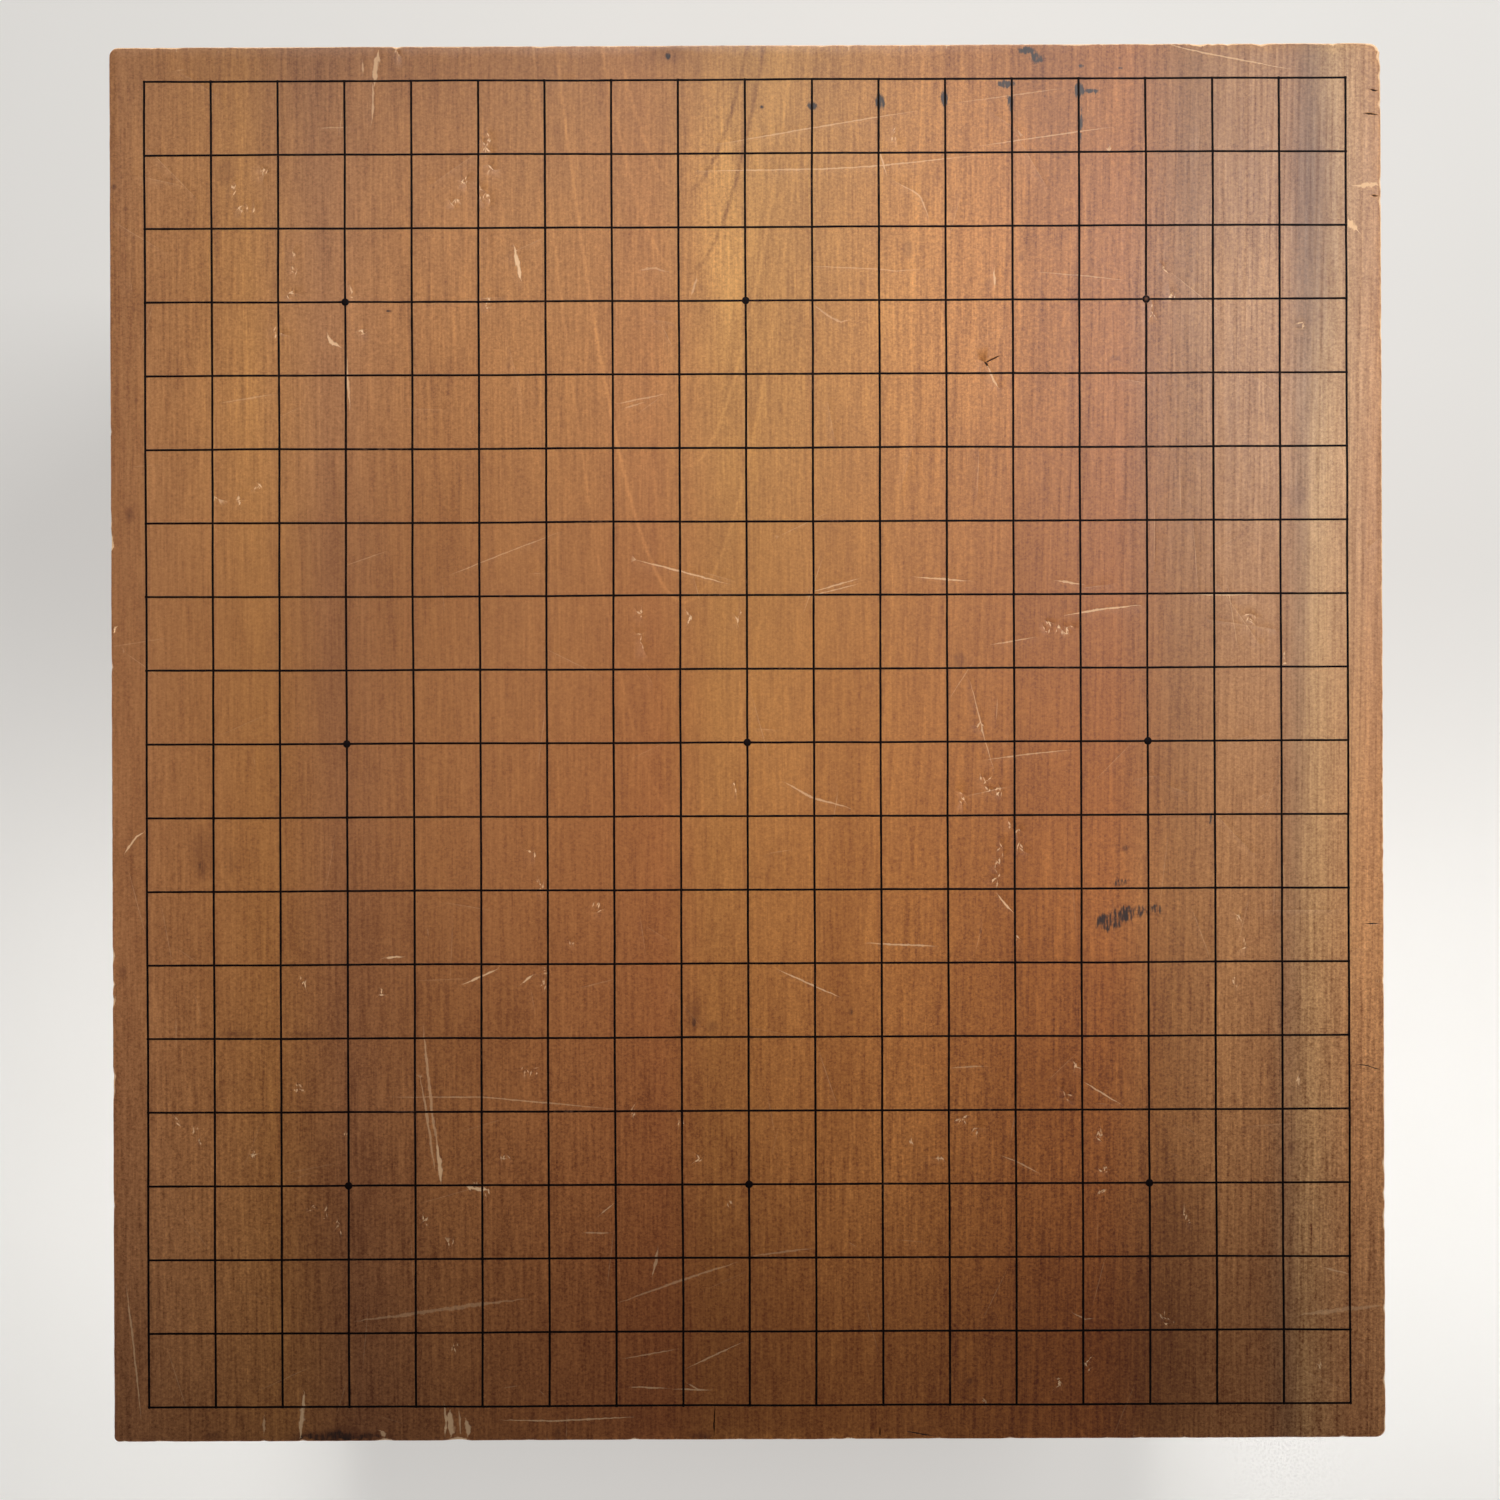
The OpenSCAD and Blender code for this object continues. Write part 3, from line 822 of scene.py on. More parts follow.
def leg_wood(settings):
    """Turned and carved wood with old wax in the flutes and worn ridges."""
    s = Shader("carved_wood")
    x, y, z = s.place()
    beside_x = abs(x) - LEG_PLACE.x
    beside_y = abs(y) - LEG_PLACE.y
    wander = s.noise(x * 9, y * 9, z * 5) - 0.5
    across = beside_x + 55 * MM + wander * (6 * MM)
    along = beside_y + x * 0.1
    radius = (across * across + along * along).root()
    rings = s.noise(radius * 620, x * 3, z * 4, detail=2.5) - 0.5
    late_wood = (radius * 340 + wander * 1.5 + s.noise(x * 60, y * 60, z * 8) * 0.8).part() ** 3
    fibres = s.noise(x * 700, y * 700, z * 26, detail=3, roughness=0.65) - 0.5
    grains = s.noise(x * 2200, y * 2200, z * 420) - 0.5
    clouds = s.noise(x * 22, y * 22, z * 16, detail=3) - 0.5
    ridge = s.attribute("ridge")
    flute = s.attribute("flute")
    light = 1 + rings * 0.7 + fibres * 0.9 + grains * 0.5 + clouds * 0.4 + ridge ** 4 * 0.3
    light = light - late_wood * 0.3
    crust = (flute ** 2 * (0.35 + clouds)).clipped()
    colour = s.mix(crust, tuple(settings.colour), tuple(settings.flute_colour))
    colour = s.aged(colour, light.at_least(0.1) - 1)
    roughness = 0.46 + clouds * 0.15 + fibres * 0.15 + late_wood * 0.06 - ridge ** 4 * 0.08
    height = fibres * 0.5 + rings * 0.2 + grains * 0.2
    return s.finish(colour, roughness.clipped(), height, 0.14 * MM, Specular_IOR_Level=0.5)


def lacquer(settings):
    """Raised black lacquer, thin and brownish where it is worn."""
    s = Shader("drawn_lacquer")
    x, y, z = s.place()
    speck = s.noise(x * 700, y * 700, z * 700, detail=3)
    wear = s.noise(x * 45, y * 45, z * 45, detail=2)
    worn = (wear.eased(0.58, 0.78) * speck.eased(0.45, 0.75) + s.attribute("bare") * 0.9).clipped()
    colour = s.mix(worn * 0.75, tuple(settings.colour), srgb(120, 84, 66))
    roughness = 0.52 + speck * 0.14 + worn * 0.2
    return s.finish(colour, roughness.clipped(), speck, 0.02 * MM, Specular_IOR_Level=0.06)


def shown_rays(nodes):
    """1 for the rays that show the background, and 0 for those that only light the board."""
    rays = ("Is Camera Ray", "Is Glossy Ray", "Is Transmission Ray")
    camera, glossy, through = nodes.node("ShaderNodeLightPath", out=rays)
    return (camera + glossy + through).at_most(1)


def pale_floor(settings):
    """Plain pale floor that looks evenly lit and keeps the board's shadow."""
    s = Shader("floor")
    x, y, z = s.place()
    mottle = s.noise(x * 14, y * 14, z, detail=4) - 0.5
    colour = s.mix((0.5 + mottle).clipped(), srgb(187, 185, 180), tuple(settings.floor_colour))
    glow = s.mix(shown_rays(s), (0, 0, 0), srgb(255, 253, 249))
    return s.finish(
        colour, 0.75 + mottle * 0.1, mottle, 0.2 * MM, Emission_Color=glow,
        Emission_Strength=settings.floor_glow)


def studio_sky(settings):
    """Dim even light from all round; what shows near the horizon is a pale wall."""
    world = bpy.data.worlds.new("sky")
    world.use_nodes = True
    world.node_tree.nodes.clear()
    s = Nodes(world.node_tree)
    _, _, down = s.parts(s.node("ShaderNodeNewGeometry", out="Incoming"))
    shown = shown_rays(s) * (0 - down).eased(0.15, 0.45, 1, 0)
    grey = settings.sky + shown * (settings.wall - settings.sky)
    light = s.node("ShaderNodeBackground", inputs={"Color": s.vector(grey, grey, grey), "Strength": 1.0})
    s.node("ShaderNodeOutputWorld", inputs={"Surface": light})
    return world


def new_tree(name, inputs):
    """A geometry tree with named inputs: the nodes, the inputs' values and their identifiers."""
    tree = bpy.data.node_groups.new(name, "GeometryNodeTree")
    tree.interface.new_socket("Geometry", in_out="INPUT", socket_type="NodeSocketGeometry")
    tree.interface.new_socket("Geometry", in_out="OUTPUT", socket_type="NodeSocketGeometry")
    identifiers = {}
    for label, kind in inputs.items():
        socket = tree.interface.new_socket(label, in_out="INPUT", socket_type=f"NodeSocket{kind}")
        identifiers[label] = socket.identifier
    nodes = Nodes(tree)
    labels = ("Geometry", *inputs)
    values = dict(zip(labels, nodes.node("NodeGroupInput", out=labels)))
    return nodes, values, identifiers


def end_tree(nodes, geometry_value, material):
    """Ends a tree in smooth shading, Realize Instances and Set Material."""
    smooth = nodes.node("GeometryNodeSetShadeSmooth", inputs={"Geometry": geometry_value})
    whole = nodes.node("GeometryNodeRealizeInstances", inputs={"Geometry": smooth})
    coated = nodes.node("GeometryNodeSetMaterial", inputs={"Geometry": whole, "Material": material})
    nodes.node("NodeGroupOutput", inputs={"Geometry": coated})
    return nodes.tree


def grown_mesh(context, name, base, tree, identifiers, values):
    """Runs a tree on a base mesh and gives the result as a plain mesh."""
    carrier = bpy.data.objects.new(f"{name}_carrier", base)
    context.collection.objects.link(carrier)
    modifier = carrier.modifiers.new(tree.name, "NODES")
    modifier.node_group = tree
    for label, value in values.items():
        modifier[identifiers[label]] = value
    evaluated = carrier.evaluated_get(context.evaluated_depsgraph_get())
    mesh = bpy.data.meshes.new_from_object(evaluated)
    mesh.name = name
    carrier.modifiers.remove(modifier)
    bpy.data.objects.remove(carrier)
    if not mesh.polygons:
        raise RuntimeError(f"{name} came out empty")
    mesh.materials.clear()
    mesh.materials.append(values["Material"])
    return mesh


def add_piece(context, mesh, body, slot, *nodes):
    """Puts a mesh in the scene as a piece that rides on a body and stands for CAD nodes."""
    piece = bpy.data.objects.new(mesh.name, mesh)
    context.collection.objects.link(piece)
    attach(piece, body)
    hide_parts(*nodes)
    return piece


def close_and_turn_out(mesh, merge_distance):
    """Merges doubled points and points all faces outwards."""
    bm = bmesh.new()
    bm.from_mesh(mesh)
    bmesh.ops.remove_doubles(bm, verts=bm.verts, dist=merge_distance)
    bmesh.ops.recalc_face_normals(bm, faces=bm.faces)
    bm.to_mesh(mesh)
    bm.free()


# Worn surfaces

# Distances between points along grooves and edges, and over the top, the sides and the underside
GROOVE_STEP = 1.6
EDGE_STEP = 1.6
TOP_PITCH = 3.6
SIDE_PITCH = 5.5
UNDER_PITCH = 7

# How bare and pale the rubbed and lit edges are, and the least and greatest rounding of an edge, in
# millimetres
EDGE_BARE = 0.9
EDGE_LEAST = 0.35
EDGE_MOST = 3.0
EDGE_MOST_AT_ENDS = 1.2

# Rings of points round a blot, as shares of its reach, and how soft its border is
BLOT_RINGS = (0.45, 0.8, 1.1)
BLOT_POINTS = 14
BLOT_END = 1.15
BLOT_SOFTNESS = 0.6
PATCH_SPREAD = 1.4

# Least distances from a filled outline to points on it, grooves and other points, in millimetres
BORDER_GAP = 0.01
GROOVE_GAP = 0.25
POINT_GAP = 0.6

# How much wider the bruised wood of a scratch is than its listed line, and how much shallower its cut
SCRATCH_SPREAD = 1.2
SCRATCH_CUT = 0.6

MARKS = ("cut", "bare", "crack", "grime", "ink", "tone")
Groove = namedtuple("Groove", "points half_widths depths bare crack")


def board_path(pixels):
    """A path of pixels, in millimetres on the board's top."""
    return [on_board(*p) for p in pixels]


def stroke_path(middle, angle, half_length):
    """Both ends of a straight stroke round its middle, at an angle in degrees."""
    turn = math.radians(angle)
    half = Vector((math.cos(turn), math.sin(turn))) * half_length
    return (middle - half, middle + half)


def groove_along(rng, path, width, depth, bare, crack=0.0):
    """A V-shaped groove along a path in millimetres, thin at both ends, with an unsteady hand."""
    points = [Vector(p) for p in path]
    lengths = [(b - a).length for a, b in zip(points, points[1:])]
    total = sum(lengths)
    count = max(3, int(total / GROOVE_STEP) + 1)
    stations, halves, depths = [], [], []
    for k in range(count + 1):
        share = k / count
        run = share * total
        stretch = 0
        while stretch < len(lengths) - 1 and run > lengths[stretch]:
            run -= lengths[stretch]
            stretch += 1
        direction = (points[stretch + 1] - points[stretch]).normalized()
        sideways = Vector((-direction.y, direction.x))
        fade = min(1, 0.12 + 3.2 * min(share, 1 - share)) * rng.uniform(0.6, 1.1)
        stray = rng.uniform(-0.1, 0.1) * width
        stations.append(points[stretch] + direction * run + sideways * stray)
        halves.append(width / 2 * fade)
        depths.append(depth * fade)
    return Groove(stations, halves, depths, bare, crack)


def groove_outline(groove):
    """Points and edges that cut a groove's middle and both sides into a surface."""
    points, edges = [], []
    last = None
    for k, (station, half) in enumerate(zip(groove.points, groove.half_widths)):
        before = groove.points[max(k - 1, 0)]
        after = groove.points[min(k + 1, len(groove.points) - 1)]
        direction = (after - before).normalized()
        sideways = Vector((-direction.y, direction.x)) * half
        row = len(points)
        points += [station + sideways, station, station - sideways]
        if last is not None:
            edges += [(last + side, row + side) for side in range(3)]
        last = row
    return points, edges


def groove_marks(flat, grooves):
    """Depth, nearness to a groove's middle, bare wood and darkness that grooves give to flat points."""
    depth, cut, bare, crack = (np.zeros(len(flat)) for _ in range(4))
    for groove in grooves:
        points = np.array([tuple(p) for p in groove.points])
        reach = max(groove.half_widths)
        near = np.all((flat > points.min(0) - reach) & (flat < points.max(0) + reach), axis=1)
        spot = np.flatnonzero(near)
        if not len(spot):
            continue
        for k in range(len(points) - 1):
            run = points[k + 1] - points[k]
            share = np.clip((flat[spot] - points[k]) @ run / max(run @ run, 1e-9), 0, 1)
            gap = np.linalg.norm(flat[spot] - points[k] - share[:, None] * run, axis=1)
            half = groove.half_widths[k] + (groove.half_widths[k + 1] - groove.half_widths[k]) * share
            deep = groove.depths[k] + (groove.depths[k + 1] - groove.depths[k]) * share
            inside = np.clip(1 - gap / half, 0, 1)
            touched = gap < half * 1.02
            depth[spot] = np.maximum(depth[spot], deep * inside)
            cut[spot] = np.maximum(cut[spot], inside)
            bare[spot] = np.maximum(bare[spot], groove.bare * touched)
            crack[spot] = np.maximum(crack[spot], groove.crack * touched)
    return depth, {"cut": cut, "bare": bare, "crack": crack}


def blot_points(blot):
    """Points round a blot that give its edge a clean shape, in millimetres."""
    middle = Vector(on_board(*blot.middle))
    points = [middle]
    for ring in BLOT_RINGS:
        for k in range(BLOT_POINTS):
            angle = math.tau * k / BLOT_POINTS
            reach = Vector((math.cos(angle) * blot.reach[0], math.sin(angle) * blot.reach[1]))
            points.append(middle + reach * PIXEL_MM * ring)
    return points


def blot_marks(flat, blots):
    """How strongly blots colour flat points, in millimetres."""
    strength = np.zeros(len(flat))
    for blot in blots:
        reach = np.array(blot.reach) * PIXEL_MM
        away = np.linalg.norm((flat - np.array(on_board(*blot.middle))) / reach, axis=1)
        soft = np.clip((BLOT_END - away) / BLOT_SOFTNESS, 0, 1)
        strength = np.maximum(strength, blot.strength * soft)
    return strength


def patch_marks(flat, patches):
    """How much lighter or darker broad patches make flat points, in millimetres."""
    tone = np.zeros(len(flat))
    for patch in patches:
        reach = np.array(patch.reach) * PIXEL_MM * PATCH_SPREAD
        away = np.linalg.norm((flat - np.array(on_board(*patch.middle))) / reach, axis=1)
        tone += patch.strength * np.clip(1 - away ** 2, 0, 1) ** 2
    return tone


def inside_loop(flat, loop):
    """Which flat points lie inside a closed loop."""
    inside = np.zeros(len(flat), dtype=bool)
    x, y = flat[:, 0], flat[:, 1]
    for (ax, ay), (bx, by) in zip(loop, np.roll(loop, -1, axis=0)):
        if ay == by:
            continue
        crosses = ((ay > y) != (by > y)) & (x < (bx - ax) * (y - ay) / (by - ay) + ax)
        inside ^= crosses
    return inside


class Skin:
    """Patches of one closed surface, in millimetres, with their wear stored on the points."""

    def __init__(self):
        self.points = []
        self.faces = []
        self.rounded = []
        self.marks = {name: [] for name in MARKS}

    def patch(self, points, faces, rounded=True, **marks):
        """Adds a patch; marks give its points' wear, and default to none."""
        start = len(self.points)
        self.points += [tuple(p) for p in points]
        self.faces += [[start + corner for corner in face] for face in faces]
        self.rounded += [rounded] * len(faces)
        for name in MARKS:
            self.marks[name] += list(marks.get(name, [0.0] * len(points)))

    def rings(self, loops, closed=True, **marks):
        """Adds a strip of quads between loops of equally many points."""
        count = len(loops[0])
        last = count if closed else count - 1
        faces = []
        for row in range(len(loops) - 1):
            for k in range(last):
                a, b = row * count + k, row * count + (k + 1) % count
                faces.append((a, b, b + count, a + count))
        self.patch([p for loop in loops for p in loop], faces, **marks)

    def cap(self, loop, tip, **marks):
        """Closes a loop with triangles to a tip; marks give one value each."""
        count = len(loop)
        faces = [(k, (k + 1) % count, count) for k in range(count)]
        self.patch([*loop, tip], faces, **{name: [value] * (count + 1) for name, value in marks.items()})

    def fill(self, loops, to_space, rng, grooves=(), stains=(), inks=(), patches=(), pitch=TOP_PITCH):
        """Fills flat loops, the first the outline and the others holes, and cuts grooves into the surface."""
        loops = [np.array(loop, dtype=float) for loop in loops]
        points, edges = [], []
        for loop in loops:
            start = len(points)
            points += [Vector(p) for p in loop]
            edges += [(start + k, start + (k + 1) % len(loop)) for k in range(len(loop))]
        border = kdtree.KDTree(len(points))
        for k, point in enumerate(points):
            border.insert((*point, 0), k)
        border.balance()

        def free(candidates, gap):
            flat = np.array([tuple(p) for p in candidates])
            good = inside_loop(flat, loops[0])
            for hole in loops[1:]:
                good &= ~inside_loop(flat, hole)
            return [ok and border.find((*p, 0))[2] > gap for ok, p in zip(good, flat)]

        for groove in grooves:
            outline, joins = groove_outline(groove)
            keep = free(outline, GROOVE_GAP)
            places = {}
            for k, point in enumerate(outline):
                if keep[k]:
                    places[k] = len(points)
                    points.append(point)
            edges += [(places[a], places[b]) for a, b in joins if a in places and b in places]
        extra = [p for blot in (*stains, *inks) for p in blot_points(blot)]
        low, high = loops[0].min(0), loops[0].max(0)
        columns = int((high[0] - low[0]) / pitch)
        rows = int((high[1] - low[1]) / pitch)
        for i in range(columns + 1):
            for j in range(rows + 1):
                jitter = Vector((rng.uniform(-0.3, 0.3), rng.uniform(-0.3, 0.3))) * pitch
                extra.append(Vector((low[0] + i * pitch, low[1] + j * pitch)) + jitter)
        points += [p for p, ok in zip(extra, free(extra, POINT_GAP)) if ok]

        spots, _, faces, _, _, _ = geometry.delaunay_2d_cdt(points, edges, [], 0, 1e-5, False)
        flat = np.array([tuple(p) for p in spots])
        kept = self.within(flat, faces, loops)
        depth, marks = groove_marks(flat, grooves)
        depth[[border.find((*p, 0))[2] < BORDER_GAP for p in flat]] = 0
        marks["grime"] = blot_marks(flat, stains)
        marks["ink"] = blot_marks(flat, inks)
        marks["tone"] = patch_marks(flat, patches)
        space = [to_space(p[0], p[1], d) for p, d in zip(flat, depth)]
        self.patch(space, kept, rounded=False, **marks)

    @staticmethod
    def within(flat, faces, loops):
        """The triangles that lie inside the first loop and outside the others."""
        middles = np.array([flat[list(face)].mean(0) for face in faces])
        solid = inside_loop(middles, loops[0])
        for hole in loops[1:]:
            solid &= ~inside_loop(middles, hole)
        return [face for face, ok in zip(faces, solid) if ok]

    def mesh(self, name, merge_distance=0.002):
        """The joined mesh, in metres."""
        mesh = bpy.data.meshes.new(name)
        mesh.from_pydata([Vector(p) * MM for p in self.points], [], self.faces)
        mesh.polygons.foreach_set("use_smooth", self.rounded)
        for mark in MARKS:
            layer = mesh.attributes.new(mark, "FLOAT", "POINT")
            layer.data.foreach_set("value", np.array(self.marks[mark], dtype=np.float32))
        close_and_turn_out(mesh, merge_distance * MM)
        return mesh


# The block

Run = namedtuple("Run", "name first last")


class BlockOutline:
    """Points round the block's plan, in millimetres, with their outward directions and worn edges."""

    def __init__(self, settings, rng):
        self.half_x = BLOCK_SIZE.x / MM / 2
        self.half_y = BLOCK_SIZE.y / MM / 2
        round_r = settings.corner_radius / MM
        sharp_r = settings.sharp_corner_radius / MM
        self.points, self.out, self.limit = [], [], []
        self.runs = []
        hx, hy = self.half_x, self.half_y
        self.add_run("front", (-hx + sharp_r, -hy), (hx - round_r, -hy), (0, -1))
        self.add_corner((hx, -hy), (-1, 1), round_r, -90)
        self.add_run("right", (hx, -hy + round_r), (hx, hy - round_r), (1, 0))
        self.add_corner((hx, hy), (-1, -1), round_r, 0)
        self.add_run("rear", (hx - round_r, hy), (-hx + round_r, hy), (0, 1))
        self.add_corner((-hx, hy), (1, -1), round_r, 90)
        self.add_run("left", (-hx, hy - round_r), (-hx, -hy + sharp_r), (-1, 0))
        self.add_corner((-hx, -hy), (1, 1), sharp_r, 180)
        self.points = np.array(self.points)
        self.out = np.array(self.out)
        seen = [(self.nearest(on_board(*chip.middle)), chip.half, chip.size) for chip in CHIPS]
        self.upper = self.edge_wear(settings, rng, 0.0, seen)
        self.lower = self.edge_wear(settings, rng, 40.0, [])

    def add_run(self, name, start, end, out):
        """Adds the points of a straight side, both ends included."""
        first = len(self.points)
        count = int(math.dist(start, end) / EDGE_STEP)
        for k in range(count + 1):
            share = k / count
            self.points.append([start[axis] + (end[axis] - start[axis]) * share for axis in (0, 1)])
            self.out.append(out)
            self.limit.append(EDGE_MOST if 0 < k < count else EDGE_MOST_AT_ENDS)
        self.runs.append(Run(name, first, first + count))

    def add_corner(self, corner, inward, radius, start_angle, steps=6):
        """Adds the points between two sides."""
        for k in range(1, steps):
            angle = math.radians(start_angle + 90 * k / steps)
            out = (math.cos(angle), math.sin(angle))
            middle = [corner[axis] + inward[axis] * radius for axis in (0, 1)]
            self.points.append([middle[axis] + out[axis] * radius for axis in (0, 1)])
            self.out.append(out)
            self.limit.append(0.7 * radius)

    def nearest(self, place):
        """The outline's point nearest to a place."""
        return self.points[np.linalg.norm(self.points - np.array(place), axis=1).argmin()]

    def edge_wear(self, settings, rng, seed, seen):
        """Rounding of an edge at each point, and how bare the wood is there with painted highlight on the
        rear and right edges, with the chips that are seen.
        """
        base = settings.edge_round / MM
        chips = list(seen)
        for _ in range(EDGE_CHIPS):
            chips.append((rng.choice(self.points.tolist()), rng.uniform(1.0, 4), rng.uniform(0.1, 0.5)))
        sizes, bare_and_lit = [], []
        for point, out, limit in zip(self.points, self.out, self.limit):
            slow = noise.noise(Vector((point[0] / 14, point[1] / 14, seed)))
            quick = noise.noise(Vector((point[0] / 3, point[1] / 3, seed + 9)))
            size = base + 0.2 * slow + 0.16 * quick
            # The rear and the right edge are rubbed most, and are made paler still as painted highlight where
            # they catch the light
            rubbed_and_lit = max(0.5 * out[1], 0.5 * out[0], 0)
            bare = 0.1 + rubbed_and_lit + 0.3 * max(0, quick) + 0.2 * max(0, slow)
            for place, half, chip in chips:
                away = math.dist(place, point) / half
                if away < 1:
                    hump = (1 - away * away) ** 2
                    size += chip * hump
                    bare += 0.9 * chip * hump
            sizes.append(min(max(size, EDGE_LEAST), limit))
            bare_and_lit.append(min(bare, 1))
        return np.array(sizes), np.array(bare_and_lit)

    def edge_loops(self, wear, height, sign, steps=4):
        """Loops from a flat face, at the given height, round its edge to the sides."""
        sizes, bare_and_lit = wear
        loops = []
        for k in range(steps + 1):
            turn = math.pi / 2 * k / steps
            plan = self.points - self.out * (sizes * (1 - math.sin(turn)))[:, None]
            drop = sizes * (1 - math.cos(turn))
            loops.append([(p[0], p[1], height - sign * d) for p, d in zip(plan, drop)])
        # Bare wood and painted highlight, most half way round the edge
        worn = [bare_and_lit * (0.25 + 0.75 * math.sin(math.pi * k / steps)) for k in range(steps + 1)]
        return loops, np.concatenate(worn)


def top_grooves(rng):
    """Grooves of the playing surface: those that the photo shows, and faint hairlines between them."""
    grooves = []
    for mark in SCRATCHES:
        width, depth = mark.width * SCRATCH_SPREAD, mark.depth * SCRATCH_CUT
        grooves.append(groove_along(rng, board_path(mark.path), width, depth, mark.bare))
    for crack in CRACKS:
        grooves.append(groove_along(rng, board_path(crack.path), crack.width, crack.depth, 0, 1.0))
    for places in FLECKS.values():
        for place in places:
            for _ in range(rng.choice((3, 4, 5))):
                middle = Vector(on_board(*place)) + Vector((rng.gauss(0, 0.7), rng.gauss(0, 1.0)))
                path = stroke_path(middle, rng.gauss(100, 40), rng.uniform(0.3, 1.1))
                grooves.append(groove_along(rng, path, rng.uniform(0.5, 1.05), 0.08, rng.uniform(0.5, 0.95)))
    half_x, half_y = BLOCK_SIZE.x / MM / 2, BLOCK_SIZE.y / MM / 2
    for _ in range(HAIRLINES):
        middle = Vector((rng.uniform(-half_x, half_x), rng.uniform(-half_y, half_y)))
        angle = rng.choice((rng.gauss(0, 25), rng.gauss(90, 12)))
        path = stroke_path(middle, angle, rng.uniform(1.5, 12))
        grooves.append(groove_along(rng, path, rng.uniform(0.3, 0.55), 0.02, rng.uniform(0.1, 0.3)))
    return grooves


def side_grooves(rng, settings, half_length, ends):
    """Bumps and scratches of one side of the block; the ends also have drying checks."""
    low, high = UNDER / MM, TOP / MM
    grooves = []
    for _ in range(SIDE_MARKS):
        middle = Vector((rng.uniform(-half_length, half_length), rng.uniform(low, high)))
        path = stroke_path(middle, rng.gauss(0, 22), rng.uniform(1, 14))
        grooves.append(groove_along(rng, path, rng.uniform(0.35, 0.8), 0.03, rng.uniform(0.1, 0.4)))
    if ends:
        pith = Vector((settings.pith_across / MM, high - settings.pith_depth / MM))
        for across in CHECK_PLACES:
            rim = Vector((across + rng.uniform(-4, 4), high - 1.3))
            inward = (pith - rim).normalized()
            reach = rng.uniform(14, 46)
            path = (rim, rim + inward * reach * 0.5, rim + inward * reach)
            grooves.append(groove_along(rng, path, rng.uniform(0.5, 0.9), 0.7, 0, 0.9))
    return grooves


def square_loop(half, height, steps):
    """Points round a square of the given half side and height."""
    corners = [(-half, -half), (half, -half), (half, half), (-half, half)]
    loop = []
    for a, b in zip(corners, corners[1:] + corners[:1]):
        for k in range(steps):
            share = k / steps
            loop.append((a[0] + (b[0] - a[0]) * share, a[1] + (b[1] - a[1]) * share, height))
    return loop


def round_loop(middle, radius, height, steps=56):
    """Points round a circle, in millimetres."""
    angles = [math.tau * k / steps for k in range(steps)]
    return [(middle[0] + radius * math.cos(a), middle[1] + radius * math.sin(a), height) for a in angles]


def add_navel(skin, settings):
    """The square recess under the block; gives the loop where it opens."""
    half = settings.navel_side / MM / 2
    low = UNDER / MM
    rim = low + settings.navel_rim / MM
    point = settings.navel_point / MM
    mouth_round = 0.8
    inner = half - 0.2 * mouth_round
    steps, slopes = 14, 12
    loops = [
        square_loop(half, low, steps),
        square_loop(inner, low + mouth_round, steps),
        square_loop(inner, rim, steps),
    ]
    for k in range(1, slopes):
        share = k / slopes
        loops.append(square_loop(inner * (1 - share), rim + point * share, steps))
    # Painted shade: the recess is made darker from its mouth to its point
    grime = np.concatenate([np.full(len(loop), 0.25 if k < 2 else 0.4) for k, loop in enumerate(loops)])
    skin.rings(loops, grime=grime)
    skin.cap(loops[-1], (0, 0, rim + point), grime=0.5)
    return [p[:2] for p in loops[0]]


def add_socket(skin, settings, middle):
    """A round socket for a leg; gives the loop where it opens."""
    radius = settings.socket_radius / MM
    low = UNDER / MM
    deep = low + settings.socket_depth / MM
    loops = [
        round_loop(middle, radius + 0.7, low),
        round_loop(middle, radius + 0.15, low + 0.5),
        round_loop(middle, radius, low + 1.2),
        round_loop(middle, radius, (low + deep) / 2),
        round_loop(middle, radius, deep),
        round_loop(middle, radius * 0.4, deep),
    ]
    count = sum(len(loop) for loop in loops)
    skin.rings(loops, cut=[1.0] * count, bare=[0.25] * count)
    skin.cap(loops[-1], (middle[0], middle[1], deep), cut=1.0, bare=0.25)
    return [p[:2] for p in loops[0]]


def add_sides(skin, settings, outline, upper, lower, rng):
    """The four sides and the upright corners between the edges' last loops."""
    levels = 24
    columns = [
        [Vector(low).lerp(Vector(high), k / levels) for k in range(levels + 1)]
        for low, high in zip(lower, upper)
    ]
    half_x, half_y = outline.half_x, outline.half_y
    to_space = {
        "front": lambda along, height, depth: (along, -half_y + depth, height),
        "rear": lambda along, height, depth: (along, half_y - depth, height),
        "right": lambda along, height, depth: (half_x - depth, along, height),
        "left": lambda along, height, depth: (-half_x + depth, along, height),
    }
    for number, run in enumerate(outline.runs):
        axis = 0 if run.name in ("front", "rear") else 1
        span = range(run.first, run.last + 1)
        ring = [lower[k] for k in span]
        ring += columns[run.last][1:-1]
        ring += [upper[k] for k in reversed(span)]
        ring += columns[run.first][-2:0:-1]
        loop = [(p[axis], p[2]) for p in ring]
        grooves = side_grooves(rng, settings, (half_x, half_y)[axis], axis == 0)
        skin.fill([loop], to_space[run.name], rng, grooves, pitch=SIDE_PITCH)
        after = outline.runs[(number + 1) % len(outline.runs)].first
        corner = list(range(run.last, after + 1)) if after > run.last else [*range(run.last, len(upper)), 0]
        skin.rings([columns[k] for k in corner], closed=False)


